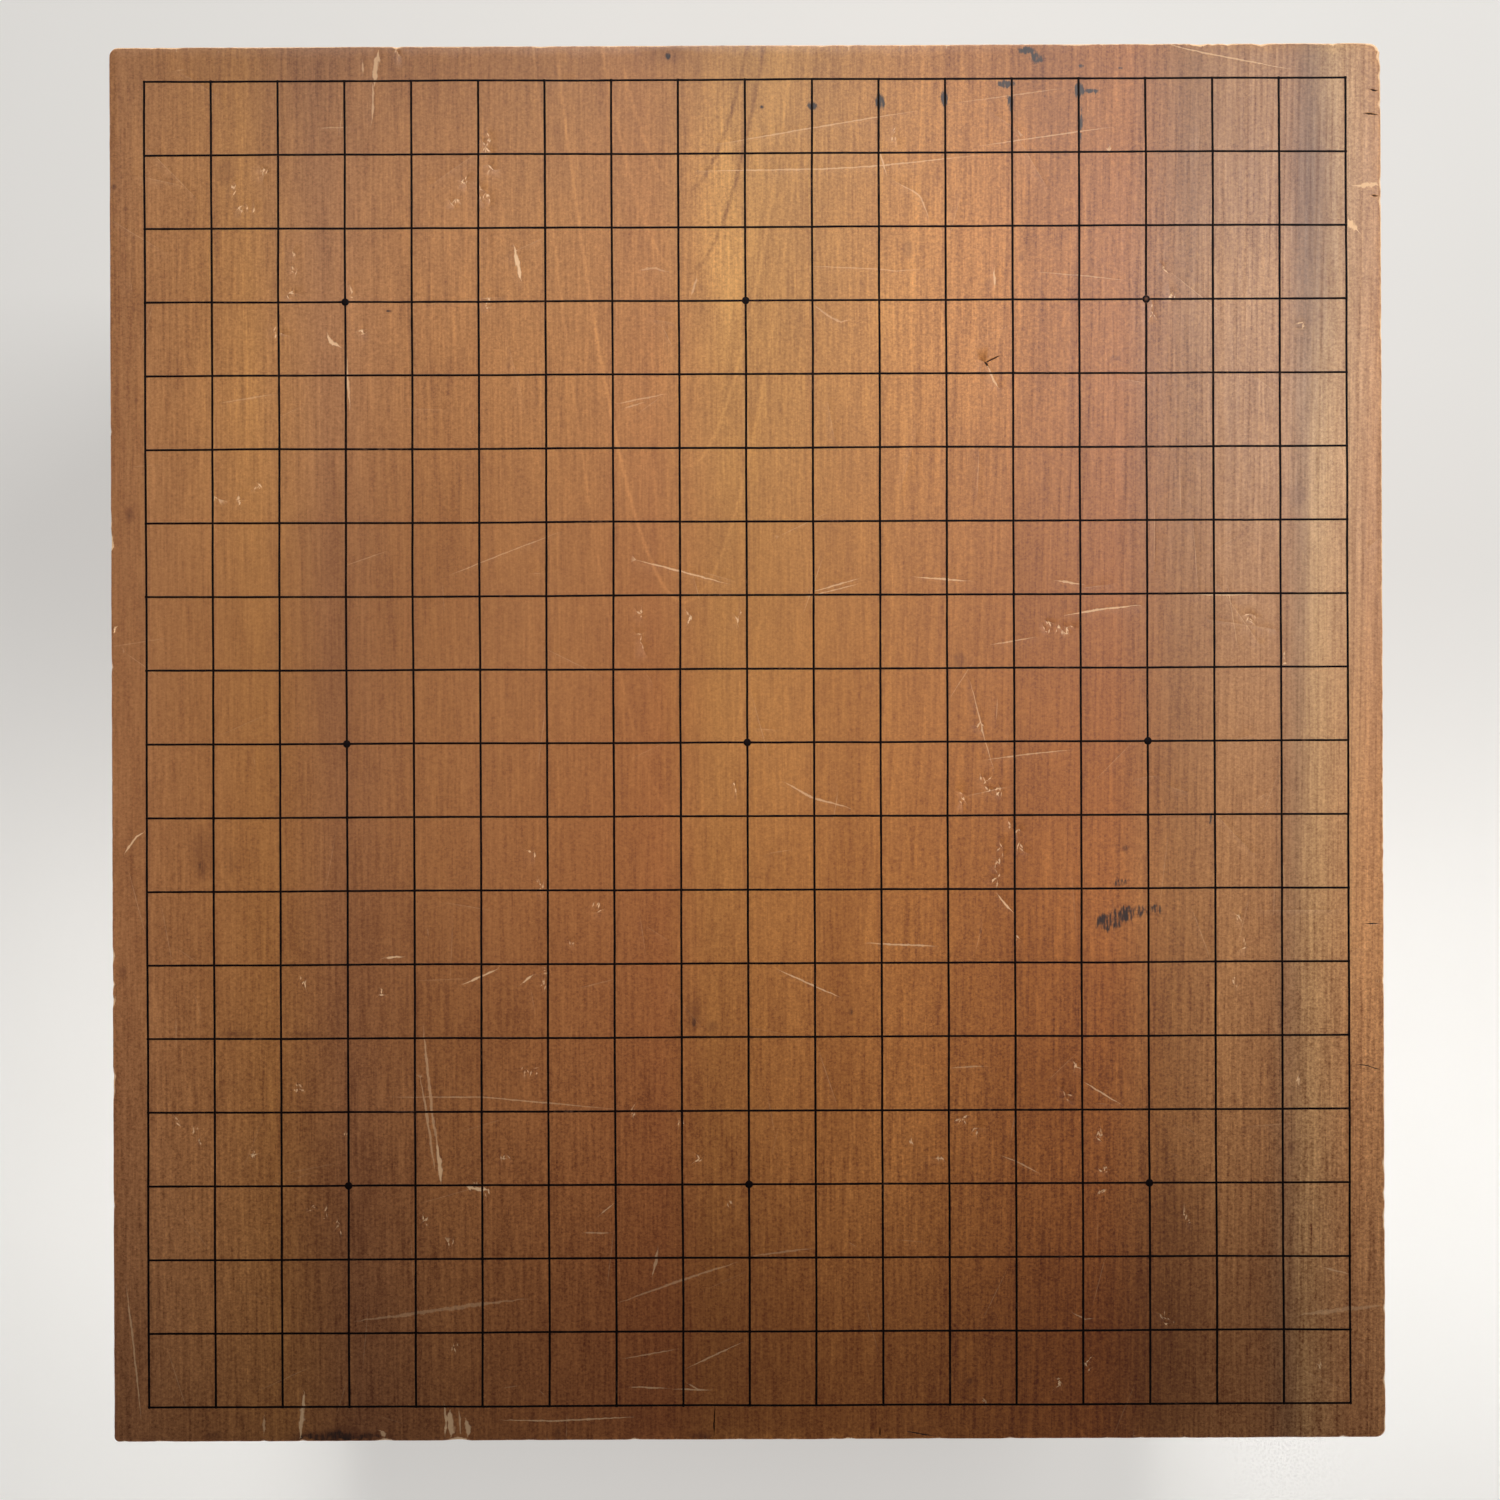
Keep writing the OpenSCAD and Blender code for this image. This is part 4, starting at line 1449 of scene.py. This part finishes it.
class GOBOARD_OT_block(bpy.types.Operator):
    """Make the worn wooden block with its sockets and recess"""

    bl_idname = "goboard.block"
    bl_label = "Block"

    def execute(self, context):
        settings = context.scene.go_block
        rng = random.Random(WEAR_SEED)
        outline = BlockOutline(settings, rng)
        skin = Skin()
        upper, upper_bare_and_lit = outline.edge_loops(outline.upper, TOP / MM, 1)
        lower, lower_bare_and_lit = outline.edge_loops(outline.lower, UNDER / MM, -1)
        skin.fill(
            [[p[:2] for p in upper[0]]], lambda x, y, depth: (x, y, TOP / MM - depth), rng,
            top_grooves(rng), STAINS, INK, PATCHES)
        # The edges' paleness is bare wood, with painted highlight on the rear and right edges
        skin.rings(upper, cut=upper_bare_and_lit, bare=[EDGE_BARE] * len(upper_bare_and_lit))
        add_sides(skin, settings, outline, upper[-1], lower[-1], rng)
        skin.rings(lower, cut=lower_bare_and_lit, bare=[EDGE_BARE] * len(lower_bare_and_lit))
        holes = [add_navel(skin, settings)]
        for name in LEGS:
            low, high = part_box(name)
            holes.append(add_socket(skin, settings, ((low + high) / 2 / MM).to_tuple()))
        skin.fill(
            [[p[:2] for p in lower[0]], *holes], lambda x, y, depth: (x, y, UNDER / MM + depth), rng,
            pitch=UNDER_PITCH)
        mesh = skin.mesh("block_worn")
        mesh.set_sharp_from_angle(angle=BLOCK_SHARP_ANGLE)
        mesh.materials.append(block_wood(settings))
        add_piece(context, mesh, "board", "block_wood", "block")
        return {"FINISHED"}


# Lacquer

LINE_STATIONS = 240
LINE_SIDES = 10
STAR_SIDES = 32
STAR_RINGS = 12


def line_tree():
    """Tree for parallel lacquer lines: drawn by hand, slightly domed, and closed at both ends."""
    nodes, given, identifiers = new_tree("Lacquer lines", {
        "Lines": "Int", "Spacing": "Vector", "Start": "Vector", "Run": "Vector", "Half Width": "Float",
        "Film": "Float", "Wobble": "Float", "Stations": "Int", "Seed": "Float", "Material": "Material",
    })
    first = nodes.node("GeometryNodeMeshLine", inputs={
        "Count": given["Lines"], "Start Location": given["Start"], "Offset": given["Spacing"]})
    stroke = nodes.node("GeometryNodeCurvePrimitiveLine", inputs={"End": given["Run"]})
    stroke = nodes.node("GeometryNodeResampleCurve", inputs={"Curve": stroke, "Count": given["Stations"]})
    strokes = nodes.node("GeometryNodeInstanceOnPoints", inputs={"Points": first, "Instance": stroke})
    strokes = nodes.node("GeometryNodeRealizeInstances", inputs={"Geometry": strokes})
    x, y, z = nodes.parts(nodes.node("GeometryNodeInputPosition"))
    seed = given["Seed"]
    slow = nodes.noise(x * 14, y * 14, seed) - 0.5
    quick = nodes.noise(x * 160, y * 160, seed + 5) - 0.5
    stray = (slow * 2.4 + quick * 0.3) * given["Wobble"]
    direction = nodes.node("ShaderNodeVectorMath", {"operation": "NORMALIZE"}, {0: given["Spacing"]})
    offset = nodes.node("ShaderNodeVectorMath", {"operation": "SCALE"}, {0: direction, "Scale": stray})
    strokes = nodes.node("GeometryNodeSetPosition", inputs={"Geometry": strokes, "Offset": offset})
    strokes = nodes.node("GeometryNodeSetCurveNormal", {"mode": "Z_UP"}, {"Curve": strokes})
    ring = nodes.node("GeometryNodeCurvePrimitiveCircle", inputs={"Resolution": LINE_SIDES, "Radius": 1.0})
    size = nodes.vector(given["Half Width"], given["Film"], 1)
    ring = nodes.node("GeometryNodeTransform", inputs={"Geometry": ring, "Scale": size})
    swell = 0.96 - (nodes.noise(x * 260, y * 260, seed + 9) - 0.5).at_least(-0.3) * 0.4
    lines = nodes.node("GeometryNodeCurveToMesh", inputs={
        "Curve": strokes, "Profile Curve": ring, "Scale": swell, "Fill Caps": True})
    return end_tree(nodes, lines, given["Material"]), identifiers


def star_tree():
    """Tree for the star points: low domes on a square of crossings."""
    nodes, given, identifiers = new_tree("Star points", {
        "Each Way": "Int", "Span": "Vector", "Height": "Float", "Radius": "Float", "Film": "Float",
        "Seed": "Float", "Material": "Material",
    })
    span_x, span_y, _ = nodes.parts(given["Span"])
    crossings = nodes.node("GeometryNodeMeshGrid", inputs={
        "Size X": span_x, "Size Y": span_y, "Vertices X": given["Each Way"], "Vertices Y": given["Each Way"]},
        out="Mesh")
    raised = nodes.node("GeometryNodeSetPosition", inputs={
        "Geometry": crossings, "Offset": nodes.vector(0, 0, given["Height"])})
    ball = {"Segments": STAR_SIDES, "Rings": STAR_RINGS, "Radius": 1.0}
    dome = nodes.node("GeometryNodeMeshUVSphere", inputs=ball, out="Mesh")
    size = nodes.vector(given["Radius"], given["Radius"], given["Film"])
    dome = nodes.node("GeometryNodeTransform", inputs={"Geometry": dome, "Scale": size})
    domes = nodes.node("GeometryNodeInstanceOnPoints", inputs={"Points": raised, "Instance": dome})
    domes = nodes.node("GeometryNodeRealizeInstances", inputs={"Geometry": domes})
    x, y, _ = nodes.parts(nodes.node("GeometryNodeInputPosition"))
    ragged = (nodes.noise(x * 500, y * 500, given["Seed"]) - 0.5) * given["Radius"] * 0.22
    domes = nodes.node("GeometryNodeSetPosition", inputs={
        "Geometry": domes, "Offset": nodes.vector(ragged, ragged, 0)})
    return end_tree(nodes, domes, given["Material"]), identifiers


def store_scuffs(mesh):
    """Stores on lacquer the bare spots where the photo's scratches cross it."""
    rng = random.Random(WEAR_SEED)
    grooves = []
    for mark in SCRATCHES:
        grooves.append(groove_along(rng, board_path(mark.path), mark.width, mark.depth, mark.bare * 0.5))
    flat = np.array([(v.co.x / MM, v.co.y / MM) for v in mesh.vertices])
    _, marks = groove_marks(flat, grooves)
    bare = marks["cut"] * marks["bare"]
    away = np.linalg.norm(flat - np.array(on_board(*WORN_STAR)), axis=1)
    bare = np.maximum(bare, np.clip(1.2 - away / WORN_STAR_REACH, 0, 1))
    layer = mesh.attributes.new("bare", "FLOAT", "POINT")
    layer.data.foreach_set("value", bare.astype(np.float32))


class GOBOARD_OT_lines(bpy.types.Operator):
    """Draw the row lines and the column lines in lacquer"""

    bl_idname = "goboard.lines"
    bl_label = "Lines"

    def execute(self, context):
        settings = context.scene.go_lacquer
        tree, identifiers = line_tree()
        material = lacquer(settings)
        kinds = (
            ("row_lines", ROW_LOW, ROW_HIGH, settings.row_width, (1, 0)),
            ("column_lines", COLUMN_LOW, COLUMN_HIGH, settings.column_width, (0, 1)),
        )
        for name, low, high, width, along in kinds:
            size = high - low
            run = Vector((size.x * along[0], size.y * along[1], 0))
            across = Vector((size.x - width, size.y - width, 0)) * Vector((along[1], along[0], 0))
            start = Vector((low.x, low.y, TOP)) + Vector((along[1], along[0], 0)) * width / 2
            values = {
                "Lines": LINE_COUNT, "Spacing": across / (LINE_COUNT - 1), "Start": start, "Run": run,
                "Half Width": width / 2, "Film": high.z - TOP, "Wobble": settings.wobble,
                "Stations": LINE_STATIONS, "Seed": float(settings.seed), "Material": material,
            }
            base = bpy.data.meshes.new(f"{name}_base")
            mesh = grown_mesh(context, f"{name}_drawn", base, tree, identifiers, values)
            close_and_turn_out(mesh, 0.01 * MM)
            store_scuffs(mesh)
            add_piece(context, mesh, "board", "lacquer", name)
        return {"FINISHED"}


class GOBOARD_OT_star_points(bpy.types.Operator):
    """Set the nine star points on their crossings"""

    bl_idname = "goboard.star_points"
    bl_label = "Star Points"

    def execute(self, context):
        settings = context.scene.go_lacquer
        tree, identifiers = star_tree()
        size = STAR_HIGH - STAR_LOW
        values = {
            "Each Way": STARS_EACH_WAY,
            "Span": (size.x - settings.star_size, size.y - settings.star_size, 0),
            "Height": TOP, "Radius": settings.star_size / 2, "Film": STAR_HIGH.z - TOP,
            "Seed": float(settings.seed), "Material": bpy.data.materials["drawn_lacquer"],
        }
        base = bpy.data.meshes.new("star_points_base")
        mesh = grown_mesh(context, "star_points_set", base, tree, identifiers, values)
        close_and_turn_out(mesh, 0.005 * MM)
        store_scuffs(mesh)
        add_piece(context, mesh, "board", "lacquer", "star_points")
        return {"FINISHED"}


# Legs

LEG_SIDES = 192
RIDGE_SOFTNESS = 0.05
KNIFE_DEPTH = 0.5 * MM

# Shift of the knife marks from one leg to the next
KNIFE_SHIFT = 3.7


def eased_run(low, high, steps):
    """Stations of a stretch of the leg's outline, from low to high, level at both ends, low left out."""
    stations = []
    for k in range(1, steps + 1):
        t = k / steps
        ease = t * t * (3 - 2 * t)
        stations.append((low[0] + (high[0] - low[0]) * ease, low[1] + (high[1] - low[1]) * t, 1))
    return stations


def leg_outline(settings):
    """Half outline of a leg from the floor up: radius, height, and whether flutes are carved there."""
    top = UNDER
    tip = LEG_HIGH.z
    foot, tenon, crown = settings.foot_radius, settings.tenon_radius, settings.crown_radius
    soft = 1.2 * MM
    hem = (settings.hem_radius, settings.foot_height)
    ankle = (settings.ankle_radius, settings.ankle_rise)
    belly = (settings.belly_radius, top - settings.belly_drop)
    neck = (settings.neck_radius, top - settings.neck_drop)
    crown_low = (crown, top - settings.crown_edge)
    outline = [(0, 0, 0), (foot - soft, 0, 0), (foot - 0.3 * soft, 0.3 * soft, 0), (foot, soft, 0)]
    outline += [(foot, hem[1], 0), (hem[0] - soft / 2, hem[1], 1)]
    outline += [(hem[0], hem[1] + soft / 2, 1)]
    outline += eased_run(hem, ankle, 6)
    outline += eased_run(ankle, belly, 22)
    outline += eased_run(belly, neck, 18)
    outline += eased_run(neck, crown_low, 12)
    outline += [(crown, top - soft, 1), (crown - 0.3 * soft, top - 0.3 * soft, 1), (crown - soft, top, 1)]
    outline += [(tenon, top, 0), (tenon, (top + tip) / 2, 0), (tenon, tip - soft, 0)]
    outline += [(tenon - 0.3 * soft, tip - 0.3 * soft, 0), (tenon - soft, tip, 0), (0, tip, 0)]
    return outline


def leg_tree():
    """Tree that turns a half outline round its axis and carves flutes into it."""
    nodes, given, identifiers = new_tree("Fluted leg", {
        "Points Around": "Int", "Ridges": "Int", "Flute Share": "Float", "Ridge Softness": "Float",
        "Carving": "Float", "Seed": "Float", "Place": "Vector", "Material": "Material",
    })
    count = nodes.node("GeometryNodeAttributeDomainSize", inputs={"Geometry": given["Geometry"]})
    grid = {"Size X": 1.0, "Size Y": 1.0, "Vertices X": given["Points Around"] + 1, "Vertices Y": count}
    sheet = nodes.node("GeometryNodeMeshGrid", inputs=grid, out="Mesh")
    place = nodes.node("GeometryNodeInputPosition")
    sheet_x, sheet_y, _ = nodes.parts(place)
    row = ((sheet_y + 0.5) * (count - 1)).whole()
    turn = (sheet_x + 0.5) * math.tau
    station = nodes.node("GeometryNodeSampleIndex", {"data_type": "FLOAT_VECTOR"}, {
        "Geometry": given["Geometry"], "Value": place, "Index": row})
    carved = nodes.node("GeometryNodeInputNamedAttribute", {"data_type": "FLOAT"}, {"Name": "carved"})
    carved = nodes.node("GeometryNodeSampleIndex", {"data_type": "FLOAT"}, {
        "Geometry": given["Geometry"], "Value": carved, "Index": row})
    radius, _, height = nodes.parts(station)

    soft = given["Ridge Softness"]
    wave = (turn * given["Ridges"] / 2).sine()
    wave = ((wave * wave + soft * soft).root() - soft) / ((1 + soft * soft).root() - soft)
    cut = radius * (1 - given["Flute Share"] * wave * carved)
    cos, sin = turn.cosine(), turn.sine()
    knife = nodes.noise(cos * cut * 55 + given["Seed"], sin * cut * 55, height * 40, detail=2) - 0.5
    cut = cut + knife * given["Carving"] * carved
    at_x, at_y, at_z = nodes.parts(given["Place"])
    spot = nodes.vector(cut * cos + at_x, cut * sin + at_y, height + at_z)
    stored = sheet
    for name, value in (("ridge", (1 - wave) * carved), ("flute", wave * carved)):
        stored = nodes.node("GeometryNodeStoreNamedAttribute", {"data_type": "FLOAT"}, {
            "Geometry": stored, "Name": name, "Value": value})
    leg = nodes.node("GeometryNodeSetPosition", inputs={"Geometry": stored, "Position": spot})
    leg = nodes.node("GeometryNodeMergeByDistance", inputs={"Geometry": leg, "Distance": 0.01 * MM})
    return end_tree(nodes, leg, given["Material"]), identifiers


class GOBOARD_OT_legs(bpy.types.Operator):
    """Carve the four legs with their feet and tenons"""

    bl_idname = "goboard.legs"
    bl_label = "Legs"

    def execute(self, context):
        settings = context.scene.go_legs
        tree, identifiers = leg_tree()
        material = leg_wood(settings)
        outline = leg_outline(settings)
        for number, name in enumerate(LEGS):
            base = bpy.data.meshes.new(f"{name}_outline")
            joins = [(k, k + 1) for k in range(len(outline) - 1)]
            base.from_pydata([(r, 0, h) for r, h, _ in outline], joins, [])
            layer = base.attributes.new("carved", "FLOAT", "POINT")
            layer.data.foreach_set("value", [carved for _, _, carved in outline])
            low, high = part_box(name)
            values = {
                "Points Around": LEG_SIDES, "Ridges": settings.ridges,
                "Flute Share": settings.flute_depth / settings.belly_radius, "Ridge Softness": RIDGE_SOFTNESS,
                "Carving": KNIFE_DEPTH, "Seed": KNIFE_SHIFT * number,
                "Place": ((low.x + high.x) / 2, (low.y + high.y) / 2, 0), "Material": material,
            }
            mesh = grown_mesh(context, f"{name}_carved", base, tree, identifiers, values)
            close_and_turn_out(mesh, 0.01 * MM)
            mesh.set_sharp_from_angle(angle=LEG_SHARP_ANGLE)
            add_piece(context, mesh, name, "leg_wood", name)
        return {"FINISHED"}


# Stage

def add_lamp(context, lamp, power):
    """A soft rectangular lamp at its place, turned towards its aim."""
    data = bpy.data.lights.new(lamp.name, "AREA")
    data.energy = power
    data.shape = "RECTANGLE"
    data.size, data.size_y = lamp.size
    data.spread = lamp.spread
    made = bpy.data.objects.new(lamp.name, data)
    made.location = lamp.place
    made.rotation_euler = (Vector(lamp.aim) - Vector(lamp.place)).to_track_quat("-Z", "Y").to_euler()
    made.visible_camera = False
    context.collection.objects.link(made)


def flipped(lamp, side, end):
    """A lamp on the left, side -1, or right and in front, end -1, or behind."""
    name = f"{lamp.name}_{'left' if side < 0 else 'right'}_{'front' if end < 0 else 'rear'}"
    place, aim = ((side * p[0], end * p[1], p[2]) for p in (lamp.place, lamp.aim))
    return lamp._replace(name=name, place=place, aim=aim)


class GOBOARD_OT_stage(bpy.types.Operator):
    """Set up the floor, the light and the camera"""

    bl_idname = "goboard.stage"
    bl_label = "Stage"

    def execute(self, context):
        settings = context.scene.go_stage
        scene = context.scene
        scene.view_settings.view_transform = "Standard"
        mesh = bpy.data.meshes.new("floor")
        mesh.from_pydata(square_loop(FLOOR_REACH, 0, 1), [], [(0, 1, 2, 3)])
        mesh.materials.append(pale_floor(settings))
        floor = bpy.data.objects.new("floor", mesh)
        context.collection.objects.link(floor)

        scene.world = studio_sky(settings)
        add_lamp(context, REAR_LAMP, settings.lamp_power)
        add_lamp(context, WINDOW, settings.window_power)
        for side in (-1, 1):
            for end in (-1, 1):
                add_lamp(context, flipped(FILL, side, end), settings.fill_power)

        data = bpy.data.cameras.new("camera")
        data.sensor_width = SENSOR_MM
        data.lens = LENS_MM
        data.clip_start = 10 * MM
        camera = bpy.data.objects.new("camera", data)
        camera.location = (settings.camera_across, settings.camera_along, TOP + settings.camera_height)
        camera.rotation_euler = (0, 0, -PHOTO_TURN)
        context.collection.objects.link(camera)
        scene.camera = camera
        return {"FINISHED"}


class GOBOARD_PT_panel(bpy.types.Panel):
    """Go board settings and steps"""

    bl_idname = "GOBOARD_PT_panel"
    bl_label = "Go Board"
    bl_space_type = "VIEW_3D"
    bl_region_type = "UI"
    bl_category = "Go Board"

    def draw(self, context):
        for label, operators, group in STEPS:
            box = self.layout.box()
            box.label(text=label)
            settings = getattr(context.scene, group)
            for name in settings.bl_rna.properties.keys():
                if name not in ("rna_type", "name"):
                    box.prop(settings, name)
            for operator in operators:
                box.operator(operator.bl_idname)


STEPS = (
    ("Block", (GOBOARD_OT_block,), "go_block"),
    ("Lacquer", (GOBOARD_OT_lines, GOBOARD_OT_star_points), "go_lacquer"),
    ("Legs", (GOBOARD_OT_legs,), "go_legs"),
    ("Stage", (GOBOARD_OT_stage,), "go_stage"),
)
SETTINGS = {
    "go_block": BlockSettings,
    "go_lacquer": LacquerSettings,
    "go_legs": LegSettings,
    "go_stage": StageSettings,
}
CLASSES = (
    *SETTINGS.values(),
    GOBOARD_OT_block,
    GOBOARD_OT_lines,
    GOBOARD_OT_star_points,
    GOBOARD_OT_legs,
    GOBOARD_OT_stage,
    GOBOARD_PT_panel,
)


def register():
    """Registers the classes and puts the settings on the scene."""
    for cls in CLASSES:
        bpy.utils.register_class(cls)
    for name, cls in SETTINGS.items():
        setattr(bpy.types.Scene, name, PointerProperty(type=cls))


def unregister():
    """Takes the settings and the classes away again."""
    for name in SETTINGS:
        delattr(bpy.types.Scene, name)
    for cls in reversed(CLASSES):
        bpy.utils.unregister_class(cls)


def main():
    """Builds the whole board."""
    register()
    bpy.ops.goboard.block()
    bpy.ops.goboard.lines()
    bpy.ops.goboard.star_points()
    bpy.ops.goboard.legs()
    bpy.ops.goboard.stage()


if __name__ == "__main__":
    main()
